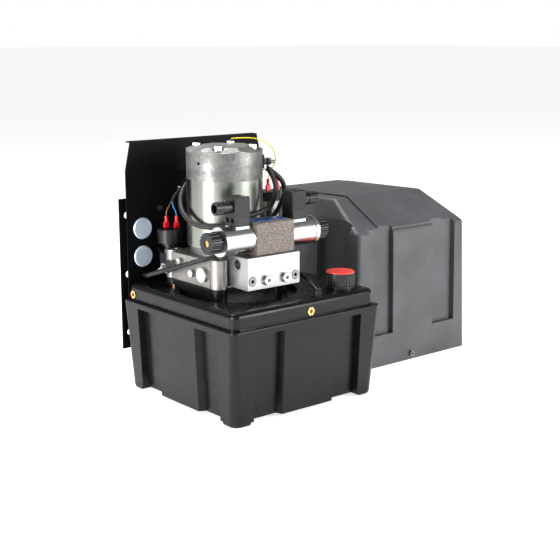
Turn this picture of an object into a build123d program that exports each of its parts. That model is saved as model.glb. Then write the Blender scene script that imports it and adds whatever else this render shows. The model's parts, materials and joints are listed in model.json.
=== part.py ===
from build123d import *
import math
import os

os.makedirs("parts", exist_ok=True)

# Frame: millimetres, +Z up, -Y towards the front of the unit, origin on the floor
# in the middle of the whole footprint (power unit on the left, its cover on the right).

# overall
TOTAL_LENGTH = 620.0
TOTAL_DEPTH = 392.0

# tank
TANK_LENGTH = 295.0
TANK_DEPTH = 295.0
LEDGE_Z = 148.5
TANK_TOP_Z = 174.0
TANK_DRAFT = 7.0
TANK_CORNER = 10.0
FOOT_CORNER = 15.0
TANK_WALL = 5.0
RIM_INSET = 7.3
RIM_CORNER = 12.0
FOOT_HEIGHT = 6.0
FOOT_SIZE = 30.0
RECESS_DEPTH = 11.0
RECESS_NEAR = 50.0
RECESS_FAR = 105.0
TANK_X = -TOTAL_LENGTH / 2 + TANK_LENGTH / 2
TANK_Y = -TOTAL_DEPTH / 2 + TANK_DEPTH / 2
WELL_RADIUS = 93.0
WELL_DEPTH = 9.0
WELL_X = TANK_X - 32.5
WELL_Y = TANK_Y - 10.5
INSERT_Z = LEDGE_Z + 8.5
INSERT_RADIUS = 5.5
INSERT_LENGTH = 9.0
SCREW_M6 = 3.0
FRONT_INSERT_X = TANK_X + 6.0
SIDE_INSERT_Y = TANK_Y + 126.5
REAR_INSERT_SPACING = 188.0

# manifold and motor
MOTOR_X = -192.0
MOTOR_Y = -22.0
MANIFOLD_LENGTH = 142.0
MANIFOLD_DEPTH = 130.0
MANIFOLD_X = MOTOR_X
MANIFOLD_Y = MOTOR_Y - 3.0
MANIFOLD_BOTTOM_Z = 188.0
MANIFOLD_TOP_Z = 230.5
GASKET = 2.0
NECK_BORE = 52.0
BOSS_RADIUS = 13.7
BOSS_DX = 59.5
BOSS_DY = 59.0
M8 = 4.0
MOTOR_RADIUS = 60.0
CAN_WALL = 3.0
FLANGE_RADIUS = 56.0
CAN_BOTTOM_Z = 243.0
CAN_TOP_Z = 347.0
CAP_TOP_Z = 397.5
SHAFT_RADIUS = 6.0
RUNNING_FIT = 0.05
ROTOR_RADIUS = 47.0
MOTOR_BOLT_CIRCLE = 46.0
MOTOR_BOLT_ANGLES = (41, 125, 221, 305)
BOLT_SEAT_Z = 393.0
BOLT_FLANGE = 1.4
BOLT_HEAD = 6.0

# gear pump under the manifold
PUMP_WALL_Z = 132.0
PUMP_BOTTOM_Z = 122.0
GEAR_MODULE = 2.0
GEAR_TEETH = 12
GEAR_WIDTH = 14.0
GEAR_PITCH = GEAR_MODULE * GEAR_TEETH / 2
GEAR_TIP = GEAR_PITCH + 0.8 * GEAR_MODULE
GEAR_ROOT = GEAR_PITCH - 1.1 * GEAR_MODULE
GEAR_DISTANCE = 2 * GEAR_PITCH
PRESSURE_ANGLE = math.radians(20)

# valve block and directional valve
BLOCK_X = -189.0
BLOCK_LENGTH = 102.0
BLOCK_FRONT_Y = -141.0
BLOCK_BACK_Y = MANIFOLD_Y - MANIFOLD_DEPTH / 2
BLOCK_BOTTOM_Z = 191.0
BLOCK_TOP_Z = 241.0
PORT_RADIUS = 7.48
PORT_DEPTH = 16.0
PORT_Y = -115.5
PORT_Z = 228.0
VALVE_X = -181.5
VALVE_Y = -113.0
VALVE_LENGTH = 72.0
VALVE_DEPTH = 46.0
VALVE_HEIGHT = 49.5
VALVE_AXIS_Z = BLOCK_TOP_Z + VALVE_HEIGHT / 2
SPOOL_RADIUS = 8.0
COIL_END = 91.0
COIL_RADIUS = 21.5
COIL_RING_RADIUS = 22.5
KNOB_END = 113.5
KNOB_RADIUS = 16.5
TUBE_RADIUS = 10.0
ARMATURE_RADIUS = 7.0
PLUG_OFFSET = 55.3
PLUG_SIZE = 27.5
PLUG_BOTTOM_Z = VALVE_AXIS_Z + COIL_RADIUS
PLUG_TOP_Z = 331.5
GLAND_Z = 316.0
GLAND_LENGTH = 29.0
ENTRY_RADIUS = 6.2

# electrical parts
CONTACTOR_X = -99.0
CONTACTOR_Y = -16.0
CONTACTOR_RADIUS = 20.0
CONTACTOR_BOTTOM_Z = MANIFOLD_TOP_Z
CONTACTOR_BODY_TOP_Z = 303.0
CONTACTOR_CAP_TOP_Z = 318.0
SWITCH_X = -243.6
SWITCH_Y = 57.7
SWITCH_RADIUS = 19.5
SWITCH_TOP_Z = 261.0

# backplate
PLATE_FRONT_Y = 93.6
PLATE_THICK = 2.0
PLATE_LENGTH = 276.0
PLATE_X = -163.3
PLATE_TOP_Z = 400.6
PLATE_BEVEL = 10.2
PLATE_BEVEL_Z = 354.5
RAIL_FRONT_Y = 106.0
RAIL_THICK = 2.5
RAIL_BOTTOM_Z = 61.0
RAIL_TOP_Z = 309.0
RAIL_HOLE = 5.5
RAIL_HOLE_DX = 130.0
RAIL_HOLE_PITCH = 97.0
RAIL_MID_Z = (RAIL_BOTTOM_Z + RAIL_TOP_Z) / 2
BLANKING_X = -272.0
BLANKING_LOW_Z = 214.0
BLANKING_HIGH_Z = 260.0

# cover
COVER_LENGTH = 279.0
COVER_DEPTH = 289.0
COVER_HEIGHT = 291.0
COVER_X = TOTAL_LENGTH / 2 - COVER_LENGTH / 2
COVER_FRONT_Y = TOTAL_DEPTH / 2 - COVER_DEPTH
COVER_BACK_Y = TOTAL_DEPTH / 2
COVER_SHOULDER_Z = 237.0
COVER_DRAFT = 7.0
COVER_WALL = 4.0
COVER_RECESS = 9.0
COVER_SCREW_X = COVER_X - 4.0
COVER_SCREW_Z = 11.0

# filler
FILLER_X = -62.0
FILLER_Y = -151.0
FILLER_HOLE = 18.0
CAP_RADIUS = 23.5
CAP_BOTTOM_Z = 180.0
CAP_DISC_Z = 199.5
FILLER_CAP_TOP_Z = 201.0


def side_planes(z):
    """Planes at height z whose local -Y looks out of the front, back, left and right tank walls."""
    turns = [
        ((1, 0, 0), TANK_DEPTH / 2),
        ((-1, 0, 0), TANK_DEPTH / 2),
        ((0, -1, 0), TANK_LENGTH / 2),
        ((0, 1, 0), TANK_LENGTH / 2),
    ]
    return [
        (Plane(origin=(TANK_X, TANK_Y, z), x_dir=x_dir, z_dir=(0, 0, 1)), half)
        for x_dir, half in turns
    ]


def tank_inset(z):
    """How far the drafted tank wall stands in from the ledge at height z."""
    return TANK_DRAFT * (LEDGE_Z - z) / (LEDGE_Z - FOOT_HEIGHT)


def recess_outline(half, z, side, grow):
    """Plan of one wall recess at height z, in its wall's own plane."""
    wall = -(half - tank_inset(z))
    floor = wall + RECESS_DEPTH + grow
    out = wall - 4.0
    near = side * (RECESS_NEAR - grow)
    far = side * (RECESS_FAR + grow)
    slope = side * 5.0
    return [
        (near, out),
        (near, wall),
        (near + slope, floor),
        (far - slope / 2, floor),
        (far, wall),
        (far, out),
    ]


def tank_recesses(bottom_z, top_z, grow):
    """The eight upright recesses in the tank walls, two on each side."""
    with BuildPart() as recesses:
        for (low, half), (high, _) in zip(side_planes(bottom_z), side_planes(top_z)):
            for side in (-1, 1):
                with BuildSketch(low):
                    with BuildLine():
                        Polyline(*recess_outline(half, bottom_z, side, grow), close=True)
                    make_face()
                with BuildSketch(high):
                    with BuildLine():
                        Polyline(*recess_outline(half, top_z, side, grow), close=True)
                    make_face()
                loft()
    return recesses.part


def tank_cavity():
    """Oil space inside the tank, one wall thickness in from its outside."""
    floor_z = FOOT_HEIGHT + TANK_WALL
    low = 2 * (TANK_WALL + tank_inset(floor_z))
    with BuildPart() as cavity:
        with BuildSketch(Plane(origin=(TANK_X, TANK_Y, floor_z))):
            RectangleRounded(TANK_LENGTH - low, TANK_DEPTH - low, FOOT_CORNER - TANK_WALL)
        with BuildSketch(Plane(origin=(TANK_X, TANK_Y, LEDGE_Z - TANK_WALL))):
            RectangleRounded(TANK_LENGTH - 2 * TANK_WALL, TANK_DEPTH - 2 * TANK_WALL, TANK_CORNER - TANK_WALL)
        loft()
        add(tank_recesses(floor_z - 1, LEDGE_Z - TANK_WALL, TANK_WALL), mode=Mode.SUBTRACT)
        rim = 2 * (RIM_INSET + TANK_WALL)
        with BuildSketch(Plane(origin=(TANK_X, TANK_Y, LEDGE_Z - 3 * TANK_WALL))):
            RectangleRounded(TANK_LENGTH - rim, TANK_DEPTH - rim, RIM_CORNER - TANK_WALL)
        extrude(amount=TANK_TOP_Z + 2 * TANK_WALL - LEDGE_Z)
        with BuildSketch(Plane(origin=(WELL_X, WELL_Y, TANK_TOP_Z - WELL_DEPTH - TANK_WALL))):
            Circle(WELL_RADIUS + TANK_WALL)
        extrude(amount=50, mode=Mode.SUBTRACT)
    return cavity.part


def tank_shell():
    with BuildPart() as tank:
        low = 2 * TANK_DRAFT
        with BuildSketch(Plane(origin=(TANK_X, TANK_Y, FOOT_HEIGHT))):
            RectangleRounded(TANK_LENGTH - low, TANK_DEPTH - low, FOOT_CORNER)
        with BuildSketch(Plane(origin=(TANK_X, TANK_Y, LEDGE_Z))):
            RectangleRounded(TANK_LENGTH, TANK_DEPTH, TANK_CORNER)
        loft()
        fillet(tank.faces().sort_by(Axis.Z)[-1].edges(), 2)
        add(tank_recesses(0, LEDGE_Z - 10, 0), mode=Mode.SUBTRACT)
        with BuildSketch(Plane(origin=(TANK_X, TANK_Y, 0))):
            length = TANK_LENGTH - low - 1
            depth = TANK_DEPTH - low - 1
            RectangleRounded(length, depth, FOOT_CORNER - 0.5)
            Rectangle(length, depth - 2 * FOOT_SIZE, mode=Mode.SUBTRACT)
            Rectangle(length - 2 * FOOT_SIZE, depth, mode=Mode.SUBTRACT)
        extrude(amount=FOOT_HEIGHT + 3)
        fillet(tank.edges().group_by(Axis.Z)[0], 5)
        with BuildSketch(Plane(origin=(TANK_X, TANK_Y, LEDGE_Z - 1))):
            RectangleRounded(TANK_LENGTH - 2 * RIM_INSET, TANK_DEPTH - 2 * RIM_INSET, RIM_CORNER)
        extrude(amount=TANK_TOP_Z - LEDGE_Z + 1)
        fillet(tank.faces().sort_by(Axis.Z)[-1].edges(), 8)
        with BuildSketch(Plane(origin=(WELL_X, WELL_Y, TANK_TOP_Z - WELL_DEPTH))):
            Circle(WELL_RADIUS)
        extrude(amount=WELL_DEPTH + 1, mode=Mode.SUBTRACT)
        with BuildSketch(Plane(origin=(MANIFOLD_X, MANIFOLD_Y, TANK_TOP_Z - WELL_DEPTH - TANK_WALL))):
            RectangleRounded(MANIFOLD_LENGTH - 4, MANIFOLD_DEPTH - 4, BOSS_RADIUS)
            with GridLocations(2 * BOSS_DX, 2 * BOSS_DY, 2, 2):
                Circle(BOSS_RADIUS - 1)
        extrude(amount=MANIFOLD_BOTTOM_Z - GASKET - TANK_TOP_Z + WELL_DEPTH + TANK_WALL)
        with Locations((WELL_X - 66, TANK_Y + 84, TANK_TOP_Z)):
            CounterBoreHole(0.5, 17, 3, depth=3.5)
        add(tank_cavity(), mode=Mode.SUBTRACT)
        with Locations((MANIFOLD_X, MANIFOLD_Y, MANIFOLD_BOTTOM_Z)):
            Hole(NECK_BORE, depth=40)
            with GridLocations(2 * BOSS_DX, 2 * BOSS_DY, 2, 2):
                Hole(6, depth=22)
        with Locations((FILLER_X, FILLER_Y, TANK_TOP_Z)):
            Hole(FILLER_HOLE, depth=12)
        with Locations(*insert_places()):
            Hole(INSERT_RADIUS, depth=INSERT_LENGTH)
    tank.part.label = "tank_shell"
    export_step(tank.part, "parts/tank_shell.step")


def insert_places():
    """Mouths of the brass inserts in the rim, each plane looking out of the tank."""
    half_length = TANK_LENGTH / 2 - RIM_INSET
    half_depth = TANK_DEPTH / 2 - RIM_INSET
    front = Plane(origin=(FRONT_INSERT_X, TANK_Y - half_depth, INSERT_Z), x_dir=(1, 0, 0), z_dir=(0, -1, 0))
    left = Plane(origin=(TANK_X - half_length, SIDE_INSERT_Y, INSERT_Z), x_dir=(0, -1, 0), z_dir=(-1, 0, 0))
    right = Plane(origin=(TANK_X + half_length, SIDE_INSERT_Y, INSERT_Z), x_dir=(0, 1, 0), z_dir=(1, 0, 0))
    rear = [
        Plane(
            origin=(PLATE_X + side * REAR_INSERT_SPACING / 2, TANK_Y + half_depth, INSERT_Z),
            x_dir=(-1, 0, 0),
            z_dir=(0, 1, 0),
        )
        for side in (-1, 1)
    ]
    return [front, left, right] + rear


def boss_places(z):
    """Centres of the four bolt bosses of the manifold at height z."""
    return [
        (MANIFOLD_X + side_x * BOSS_DX, MANIFOLD_Y + side_y * BOSS_DY, z)
        for side_x in (-1, 1)
        for side_y in (-1, 1)
    ]


def tank_inserts():
    """Brass inserts with hexagonal flanges in the rim, and longer ones under the manifold bolts."""
    with BuildPart() as inserts:
        for place in insert_places():
            with BuildSketch(place):
                RegularPolygon(7, 6)
            extrude(amount=1)
            with BuildSketch(place):
                Circle(INSERT_RADIUS)
            extrude(amount=-INSERT_LENGTH)
        with Locations(*insert_places()):
            with Locations((0, 0, 1)):
                Hole(SCREW_M6, depth=INSERT_LENGTH)
        with Locations(*boss_places(MANIFOLD_BOTTOM_Z - GASKET - 20)):
            Cylinder(6, 20, align=(Align.CENTER, Align.CENTER, Align.MIN))
            Cylinder(M8, 20, align=(Align.CENTER, Align.CENTER, Align.MIN), mode=Mode.SUBTRACT)
    inserts.part.label = "tank_inserts"
    export_step(inserts.part, "parts/tank_inserts.step")


def filler_neck():
    """Threaded collar pressed into the filler hole."""
    with BuildPart() as neck:
        with BuildSketch(Plane.XZ.offset(-FILLER_Y)):
            with BuildLine():
                Polyline(
                    (FILLER_X + 14, TANK_TOP_Z - 14),
                    (FILLER_X + FILLER_HOLE, TANK_TOP_Z - 14),
                    (FILLER_X + FILLER_HOLE, TANK_TOP_Z),
                    (FILLER_X + 24, TANK_TOP_Z),
                    (FILLER_X + 24, TANK_TOP_Z + 3),
                    (FILLER_X + 19, TANK_TOP_Z + 3),
                    (FILLER_X + 19, TANK_TOP_Z + 18),
                    (FILLER_X + 14, TANK_TOP_Z + 18),
                    close=True,
                )
            make_face()
        revolve(axis=Axis((FILLER_X, FILLER_Y, 0), (0, 0, 1)))
    neck.part.label = "filler_neck"
    export_step(neck.part, "parts/filler_neck.step")


def filler_seal():
    with BuildPart() as seal:
        with Locations((FILLER_X, FILLER_Y, TANK_TOP_Z + 3)):
            Cylinder(23.2, 2.2, align=(Align.CENTER, Align.CENTER, Align.MIN))
            Cylinder(19.0, 2.2, align=(Align.CENTER, Align.CENTER, Align.MIN), mode=Mode.SUBTRACT)
    seal.part.label = "filler_seal"
    export_step(seal.part, "parts/filler_seal.step")


def filler_cap():
    """Cup-shaped screw cap with grip ribs, and the coloured disc set into its top."""
    with BuildPart() as cap:
        with Locations((FILLER_X, FILLER_Y, CAP_BOTTOM_Z)):
            Cylinder(CAP_RADIUS - 1, CAP_DISC_Z - CAP_BOTTOM_Z, align=(Align.CENTER, Align.CENTER, Align.MIN))
            with PolarLocations(CAP_RADIUS - 1, 24):
                Cylinder(1, CAP_DISC_Z - CAP_BOTTOM_Z - 2, align=(Align.CENTER, Align.CENTER, Align.MIN))
            Cylinder(
                19.5,
                CAP_DISC_Z - CAP_BOTTOM_Z - 3,
                align=(Align.CENTER, Align.CENTER, Align.MIN),
                mode=Mode.SUBTRACT,
            )
    cap.part.label = "filler_cap"
    export_step(cap.part, "parts/filler_cap.step")
    with BuildPart() as disc:
        with Locations((FILLER_X, FILLER_Y, CAP_DISC_Z)):
            thickness = FILLER_CAP_TOP_Z - CAP_DISC_Z
            Cylinder(CAP_RADIUS - 1, thickness, align=(Align.CENTER, Align.CENTER, Align.MIN))
        fillet(disc.edges().sort_by(Axis.Z)[-1], 0.6)
    disc.part.label = "filler_cap_disc"
    export_step(disc.part, "parts/filler_cap_disc.step")


def manifold_gasket():
    with BuildPart() as gasket:
        with BuildSketch(Plane(origin=(MANIFOLD_X, MANIFOLD_Y, MANIFOLD_BOTTOM_Z - GASKET))):
            RectangleRounded(MANIFOLD_LENGTH - 6, MANIFOLD_DEPTH - 6, BOSS_RADIUS)
            Circle(NECK_BORE, mode=Mode.SUBTRACT)
            with GridLocations(2 * BOSS_DX, 2 * BOSS_DY, 2, 2):
                Circle(M8, mode=Mode.SUBTRACT)
        extrude(amount=GASKET)
    gasket.part.label = "manifold_gasket"
    export_step(gasket.part, "parts/manifold_gasket.step")


MANIFOLD_LEFT = MANIFOLD_X - MANIFOLD_LENGTH / 2
RELIEF_Y = 25.0
RELIEF_RADIUS = 4.5
RELIEF_Z = 209.0
RELIEF_TILT = 15.0
BIG_PLUG_Y = -59.0
BIG_PLUG_Z = 206.5
BIG_PLUG_RADIUS = 11.5
SMALL_PLUGS = [(-30.0, 204.5, 6.5), (2.0, 219.0, 5.0), (-31.0, 221.0, 4.5)]
BLOCK_SCREW_DX = 42.0
BLOCK_SCREW_Z = 205.0
BLOCK_SCREW_HEAD = 6.5
BLOCK_PLUG_X = (-203.0, -167.0)
BLOCK_PLUG_Z = 204.0
BLOCK_PLUG_RADIUS = 6.0


def left_face(y, z):
    """Plane on the manifold's left face looking out of it."""
    return Plane(origin=(MANIFOLD_LEFT, y, z), x_dir=(0, -1, 0), z_dir=(-1, 0, 0))


def relief_plane():
    """Plane on the manifold's left face along the tilted relief valve bore."""
    tilt = math.radians(RELIEF_TILT)
    return Plane(
        origin=(MANIFOLD_LEFT, RELIEF_Y, RELIEF_Z),
        x_dir=(0, -1, 0),
        z_dir=(-math.cos(tilt), 0, -math.sin(tilt)),
    )


def manifold_body():
    with BuildPart() as manifold:
        with BuildSketch(Plane(origin=(MANIFOLD_X, MANIFOLD_Y, MANIFOLD_BOTTOM_Z))):
            Rectangle(MANIFOLD_LENGTH, MANIFOLD_DEPTH)
            with GridLocations(2 * BOSS_DX, 2 * BOSS_DY, 2, 2):
                Rectangle(2 * 11.5, 2 * 6, mode=Mode.SUBTRACT)
        extrude(amount=MANIFOLD_TOP_Z - MANIFOLD_BOTTOM_Z)
        with Locations(*boss_places(MANIFOLD_BOTTOM_Z)):
            Cylinder(
                BOSS_RADIUS,
                MANIFOLD_TOP_Z + 2 - MANIFOLD_BOTTOM_Z,
                align=(Align.CENTER, Align.CENTER, Align.MIN),
            )
        with Locations(*boss_places(MANIFOLD_TOP_Z + 2)):
            CounterBoreHole(M8, 7, 9)
        with Locations((MOTOR_X, MOTOR_Y, MANIFOLD_TOP_Z)):
            CounterBoreHole(9.5, 20, 6)
        with Locations(left_face(BIG_PLUG_Y, BIG_PLUG_Z)):
            Hole(BIG_PLUG_RADIUS - 1.5, depth=14)
        for y, z, radius in SMALL_PLUGS:
            with Locations(left_face(y, z)):
                Hole(radius - 1.5, depth=10)
        with Locations(relief_plane().offset(-1)):
            Cylinder(10.3, 14, align=(Align.CENTER, Align.CENTER, Align.MIN), mode=Mode.SUBTRACT)
            Hole(RELIEF_RADIUS, depth=26)
        with Locations(*block_screw_places(BLOCK_BACK_Y - BOSS_RADIUS)):
            Hole(M8, depth=BOSS_RADIUS + 20)
    manifold.part.label = "manifold_body"
    export_step(manifold.part, "parts/manifold_body.step")


def relief_valve():
    """Screw-in relief cartridge and the adjusting screw with its lock nut."""
    place = relief_plane()
    with BuildPart() as cartridge:
        with BuildSketch(place):
            Circle(RELIEF_RADIUS)
        extrude(amount=-24)
        with BuildSketch(place):
            RegularPolygon(9.8, 6)
        extrude(amount=15)
        with BuildSketch(place.offset(15)):
            Circle(2.5)
        extrude(amount=-20, mode=Mode.SUBTRACT)
    cartridge.part.label = "relief_valve"
    export_step(cartridge.part, "parts/relief_valve.step")
    with BuildPart() as adjuster:
        with BuildSketch(place.offset(-3)):
            Circle(2.5)
        extrude(amount=19)
        with BuildSketch(place.offset(15)):
            RegularPolygon(6, 6)
        extrude(amount=4)
        with BuildSketch(place.offset(19)):
            Circle(4)
        extrude(amount=6)
        with BuildSketch(place.offset(25)):
            RegularPolygon(2.2, 6)
        extrude(amount=-3.5, mode=Mode.SUBTRACT)
    adjuster.part.label = "relief_adjuster"
    export_step(adjuster.part, "parts/relief_adjuster.step")


def block_screw_places(y):
    """Planes at depth y looking out of the block's front, on its two screws."""
    return [
        Plane(origin=(BLOCK_X + side * BLOCK_SCREW_DX, y, BLOCK_SCREW_Z), x_dir=(1, 0, 0), z_dir=(0, -1, 0))
        for side in (-1, 1)
    ]


def block_plug_places(y):
    return [
        Plane(origin=(x, y, BLOCK_PLUG_Z), x_dir=(1, 0, 0), z_dir=(0, -1, 0)) for x in BLOCK_PLUG_X
    ]


def port_places():
    """Mouths of the two service ports, one in each end of the block."""
    half = BLOCK_LENGTH / 2
    left = Plane(origin=(BLOCK_X - half, PORT_Y, PORT_Z), x_dir=(0, -1, 0), z_dir=(-1, 0, 0))
    right = Plane(origin=(BLOCK_X + half, PORT_Y, PORT_Z), x_dir=(0, 1, 0), z_dir=(1, 0, 0))
    return [left, right]


VALVE_SCREW_DX = 22.0
VALVE_SCREW_DY = 16.0
DRAIN_Y = -110.0
DRAIN_SHANK = 3.4
DRAIN_Z = 203.0
DRAIN_PLACE = Plane(
    origin=(BLOCK_X + BLOCK_LENGTH / 2, DRAIN_Y, DRAIN_Z), x_dir=(0, 1, 0), z_dir=(1, 0, 0)
)


def valve_block():
    with BuildPart() as block:
        with BuildSketch(Plane(origin=(BLOCK_X, (BLOCK_FRONT_Y + BLOCK_BACK_Y) / 2, BLOCK_BOTTOM_Z))):
            Rectangle(BLOCK_LENGTH, BLOCK_BACK_Y - BLOCK_FRONT_Y)
        extrude(amount=BLOCK_TOP_Z - BLOCK_BOTTOM_Z)
        chamfer(block.edges(), 0.6)
        with Locations(*boss_places(BLOCK_BOTTOM_Z - 1)):
            Cylinder(BOSS_RADIUS + 0.3, 60, align=(Align.CENTER, Align.CENTER, Align.MIN), mode=Mode.SUBTRACT)
        with Locations(*port_places()):
            CounterBoreHole(PORT_RADIUS, 11.5, 0.8, depth=PORT_DEPTH + 0.8)
        with Locations(*block_screw_places(BLOCK_FRONT_Y)):
            CounterBoreHole(M8 + 0.3, 7.4, 7, depth=BLOCK_BACK_Y - BLOCK_FRONT_Y)
        with Locations(*block_plug_places(BLOCK_FRONT_Y)):
            Hole(BLOCK_PLUG_RADIUS, depth=14)
        with Locations(DRAIN_PLACE):
            Hole(3, depth=DRAIN_SHANK)
        with Locations((VALVE_X, VALVE_Y, BLOCK_TOP_Z)):
            with GridLocations(2 * VALVE_SCREW_DX, 2 * VALVE_SCREW_DY, 2, 2):
                Hole(2.5, depth=12)
            with GridLocations(22, 0, 2, 1):
                Hole(3, depth=10)
    block.part.label = "valve_block"
    export_step(block.part, "parts/valve_block.step")


def port_plugs():
    """Screwed plugs: a disc and three hexagons in the manifold's left face, two collars in the block."""
    with BuildPart() as plugs:
        with BuildSketch(left_face(BIG_PLUG_Y, BIG_PLUG_Z)):
            Circle(BIG_PLUG_RADIUS - 1.5)
        extrude(amount=-13)
        with BuildSketch(left_face(BIG_PLUG_Y, BIG_PLUG_Z)):
            Circle(BIG_PLUG_RADIUS)
        extrude(amount=4.5)
        for y, z, radius in SMALL_PLUGS:
            with BuildSketch(left_face(y, z)):
                Circle(radius - 1.5)
            extrude(amount=-9)
            with BuildSketch(left_face(y, z)):
                RegularPolygon(radius, 6)
            extrude(amount=4)
        for place in block_plug_places(BLOCK_FRONT_Y):
            with BuildSketch(place):
                Circle(BLOCK_PLUG_RADIUS)
            extrude(amount=-12)
            with BuildSketch(place):
                Circle(8.3)
            extrude(amount=5.5)
            with BuildSketch(place.offset(5.5)):
                RegularPolygon(3.5, 6)
            extrude(amount=-5, mode=Mode.SUBTRACT)
        chamfer(plugs.edges().filter_by(GeomType.CIRCLE).group_by(Axis.Y)[0], 0.8)
    plugs.part.label = "port_plugs"
    export_step(plugs.part, "parts/port_plugs.step")


def valve_axis(x):
    """Plane across the spool axis at distance x from the valve's middle, looking along +X."""
    return Plane(origin=(VALVE_X + x, VALVE_Y, VALVE_AXIS_Z), x_dir=(0, 1, 0), z_dir=(1, 0, 0))


def rod(start, end, radius, mode=Mode.ADD):
    """Round length between two places along the spool axis, in the part being built."""
    with Locations(valve_axis(min(start, end))):
        Cylinder(radius, abs(end - start), align=(Align.CENTER, Align.CENTER, Align.MIN), mode=mode)


def bored(start, end, radius):
    """Round hole between two places along the spool axis."""
    rod(start, end, radius, mode=Mode.SUBTRACT)


def valve_body():
    with BuildPart() as body:
        with BuildSketch(Plane(origin=(VALVE_X, VALVE_Y, BLOCK_TOP_Z))):
            Rectangle(VALVE_LENGTH, VALVE_DEPTH)
        extrude(amount=VALVE_HEIGHT)
        chamfer(body.edges().filter_by(Axis.X), 1.0)
        bored(-VALVE_LENGTH / 2, VALVE_LENGTH / 2, SPOOL_RADIUS)
        with Locations((VALVE_X, VALVE_Y, BLOCK_TOP_Z + VALVE_HEIGHT)):
            with GridLocations(2 * VALVE_SCREW_DX, 2 * VALVE_SCREW_DY, 2, 2):
                CounterBoreHole(2.7, 4.6, 6)
        with Locations(Plane(origin=(VALVE_X, VALVE_Y, BLOCK_TOP_Z), x_dir=(1, 0, 0), z_dir=(0, 0, -1))):
            with GridLocations(22, 0, 2, 1):
                Hole(3, depth=12)
    body.part.label = "valve_body"
    export_step(body.part, "parts/valve_body.step")


def socket_screws():
    """Cap screws of the manifold (in its bosses), of the block (in its front) and of the valve (on top)."""
    manifold_head_z = MANIFOLD_TOP_Z + 2 - 9
    manifold_shank = manifold_head_z - (MANIFOLD_BOTTOM_Z - GASKET - 16)
    block_shank = BLOCK_BACK_Y - BLOCK_FRONT_Y - 7 + 19
    valve_head_z = BLOCK_TOP_Z + VALVE_HEIGHT - 6
    with BuildPart() as screws:
        with Locations(*boss_places(manifold_head_z)):
            Cylinder(6.5, 8, align=(Align.CENTER, Align.CENTER, Align.MIN))
            Cylinder(M8, manifold_shank, align=(Align.CENTER, Align.CENTER, Align.MAX))
            Cylinder(3, 9, align=(Align.CENTER, Align.CENTER, Align.MIN), mode=Mode.SUBTRACT)
        with Locations(*block_screw_places(BLOCK_FRONT_Y + 7)):
            Cylinder(BLOCK_SCREW_HEAD, 7.5, align=(Align.CENTER, Align.CENTER, Align.MIN))
            Cylinder(M8, block_shank, align=(Align.CENTER, Align.CENTER, Align.MAX))
        with Locations(*block_screw_places(BLOCK_FRONT_Y + 4)):
            Cylinder(3, 5, align=(Align.CENTER, Align.CENTER, Align.MIN), mode=Mode.SUBTRACT)
        with Locations((VALVE_X, VALVE_Y, valve_head_z)):
            with GridLocations(2 * VALVE_SCREW_DX, 2 * VALVE_SCREW_DY, 2, 2):
                Cylinder(4.2, 5, align=(Align.CENTER, Align.CENTER, Align.MIN))
                Cylinder(2.5, valve_head_z - BLOCK_TOP_Z + 11, align=(Align.CENTER, Align.CENTER, Align.MAX))
                Cylinder(2, 5, align=(Align.CENTER, Align.CENTER, Align.MIN), mode=Mode.SUBTRACT)
    screws.part.label = "socket_screws"
    export_step(screws.part, "parts/socket_screws.step")


def valve_label():
    """Plain coloured plate on top of the valve, between the screws and a little behind."""
    with BuildPart() as label:
        with Locations((VALVE_X, VALVE_Y + 1, BLOCK_TOP_Z + VALVE_HEIGHT)):
            Box(VALVE_LENGTH - 8, 20, 0.8, align=(Align.CENTER, Align.CENTER, Align.MIN))
    label.part.label = "valve_label"
    export_step(label.part, "parts/valve_label.step")


def valve_spool():
    """Spool with three lands, and a plain stem at each end inside the springs."""
    with BuildPart() as spool:
        rod(-33, 33, 3.6)
        for start, end in ((-24, -14), (-5, 5), (14, 24)):
            rod(start, end, SPOOL_RADIUS - RUNNING_FIT)
    spool.part.label = "valve_spool"
    export_step(spool.part, "parts/valve_spool.step")


def centring_springs():
    """Two compression springs between the spool's outer lands and the core tubes."""
    with BuildPart() as spring:
        with BuildLine() as coil:
            Helix(2.6, 10.2, 5.9, center=(VALVE_X + 24.9, VALVE_Y, VALVE_AXIS_Z), direction=(1, 0, 0))
        with BuildSketch(Plane(origin=coil.wire() @ 0, z_dir=coil.wire() % 0)):
            Circle(0.8)
        sweep(is_frenet=True)
    with BuildPart() as springs:
        add(spring.part)
        mirror(about=Plane.YZ.offset(VALVE_X))
    springs.part.label = "centring_springs"
    export_step(springs.part, "parts/centring_springs.step")


SIDES = (-1, 1)
TUBE_START = 36.0
POLE_END = 47.0
ARMATURE_START = 50.0
ARMATURE_END = 75.0
TUBE_CHAMBER_END = 80.0
PIN_RADIUS = 2.5
PIN_HEAD_RADIUS = 5.2
PIN_HEAD_START = 100.0
PIN_END = KNOB_END - 1.5


def core_tubes():
    """Pressure tubes on both ends of the valve, each with its pole piece and armature chamber."""
    with BuildPart() as tubes:
        for side in SIDES:
            rod(side * TUBE_START, side * 97, TUBE_RADIUS)
            bored(side * TUBE_START, side * 98, PIN_RADIUS + RUNNING_FIT)
            bored(side * POLE_END, side * TUBE_CHAMBER_END, ARMATURE_RADIUS + RUNNING_FIT)
            bored(side * (PIN_HEAD_START - 8), side * 98, PIN_HEAD_RADIUS + 0.4)
    tubes.part.label = "core_tubes"
    export_step(tubes.part, "parts/core_tubes.step")


def solenoid_armatures():
    """Iron plungers with push rods that rest on the spool's ends."""
    with BuildPart() as armatures:
        for side in SIDES:
            rod(side * ARMATURE_START, side * ARMATURE_END, ARMATURE_RADIUS)
            rod(side * 33, side * ARMATURE_START, PIN_RADIUS)
    armatures.part.label = "solenoid_armatures"
    export_step(armatures.part, "parts/solenoid_armatures.step")


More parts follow.
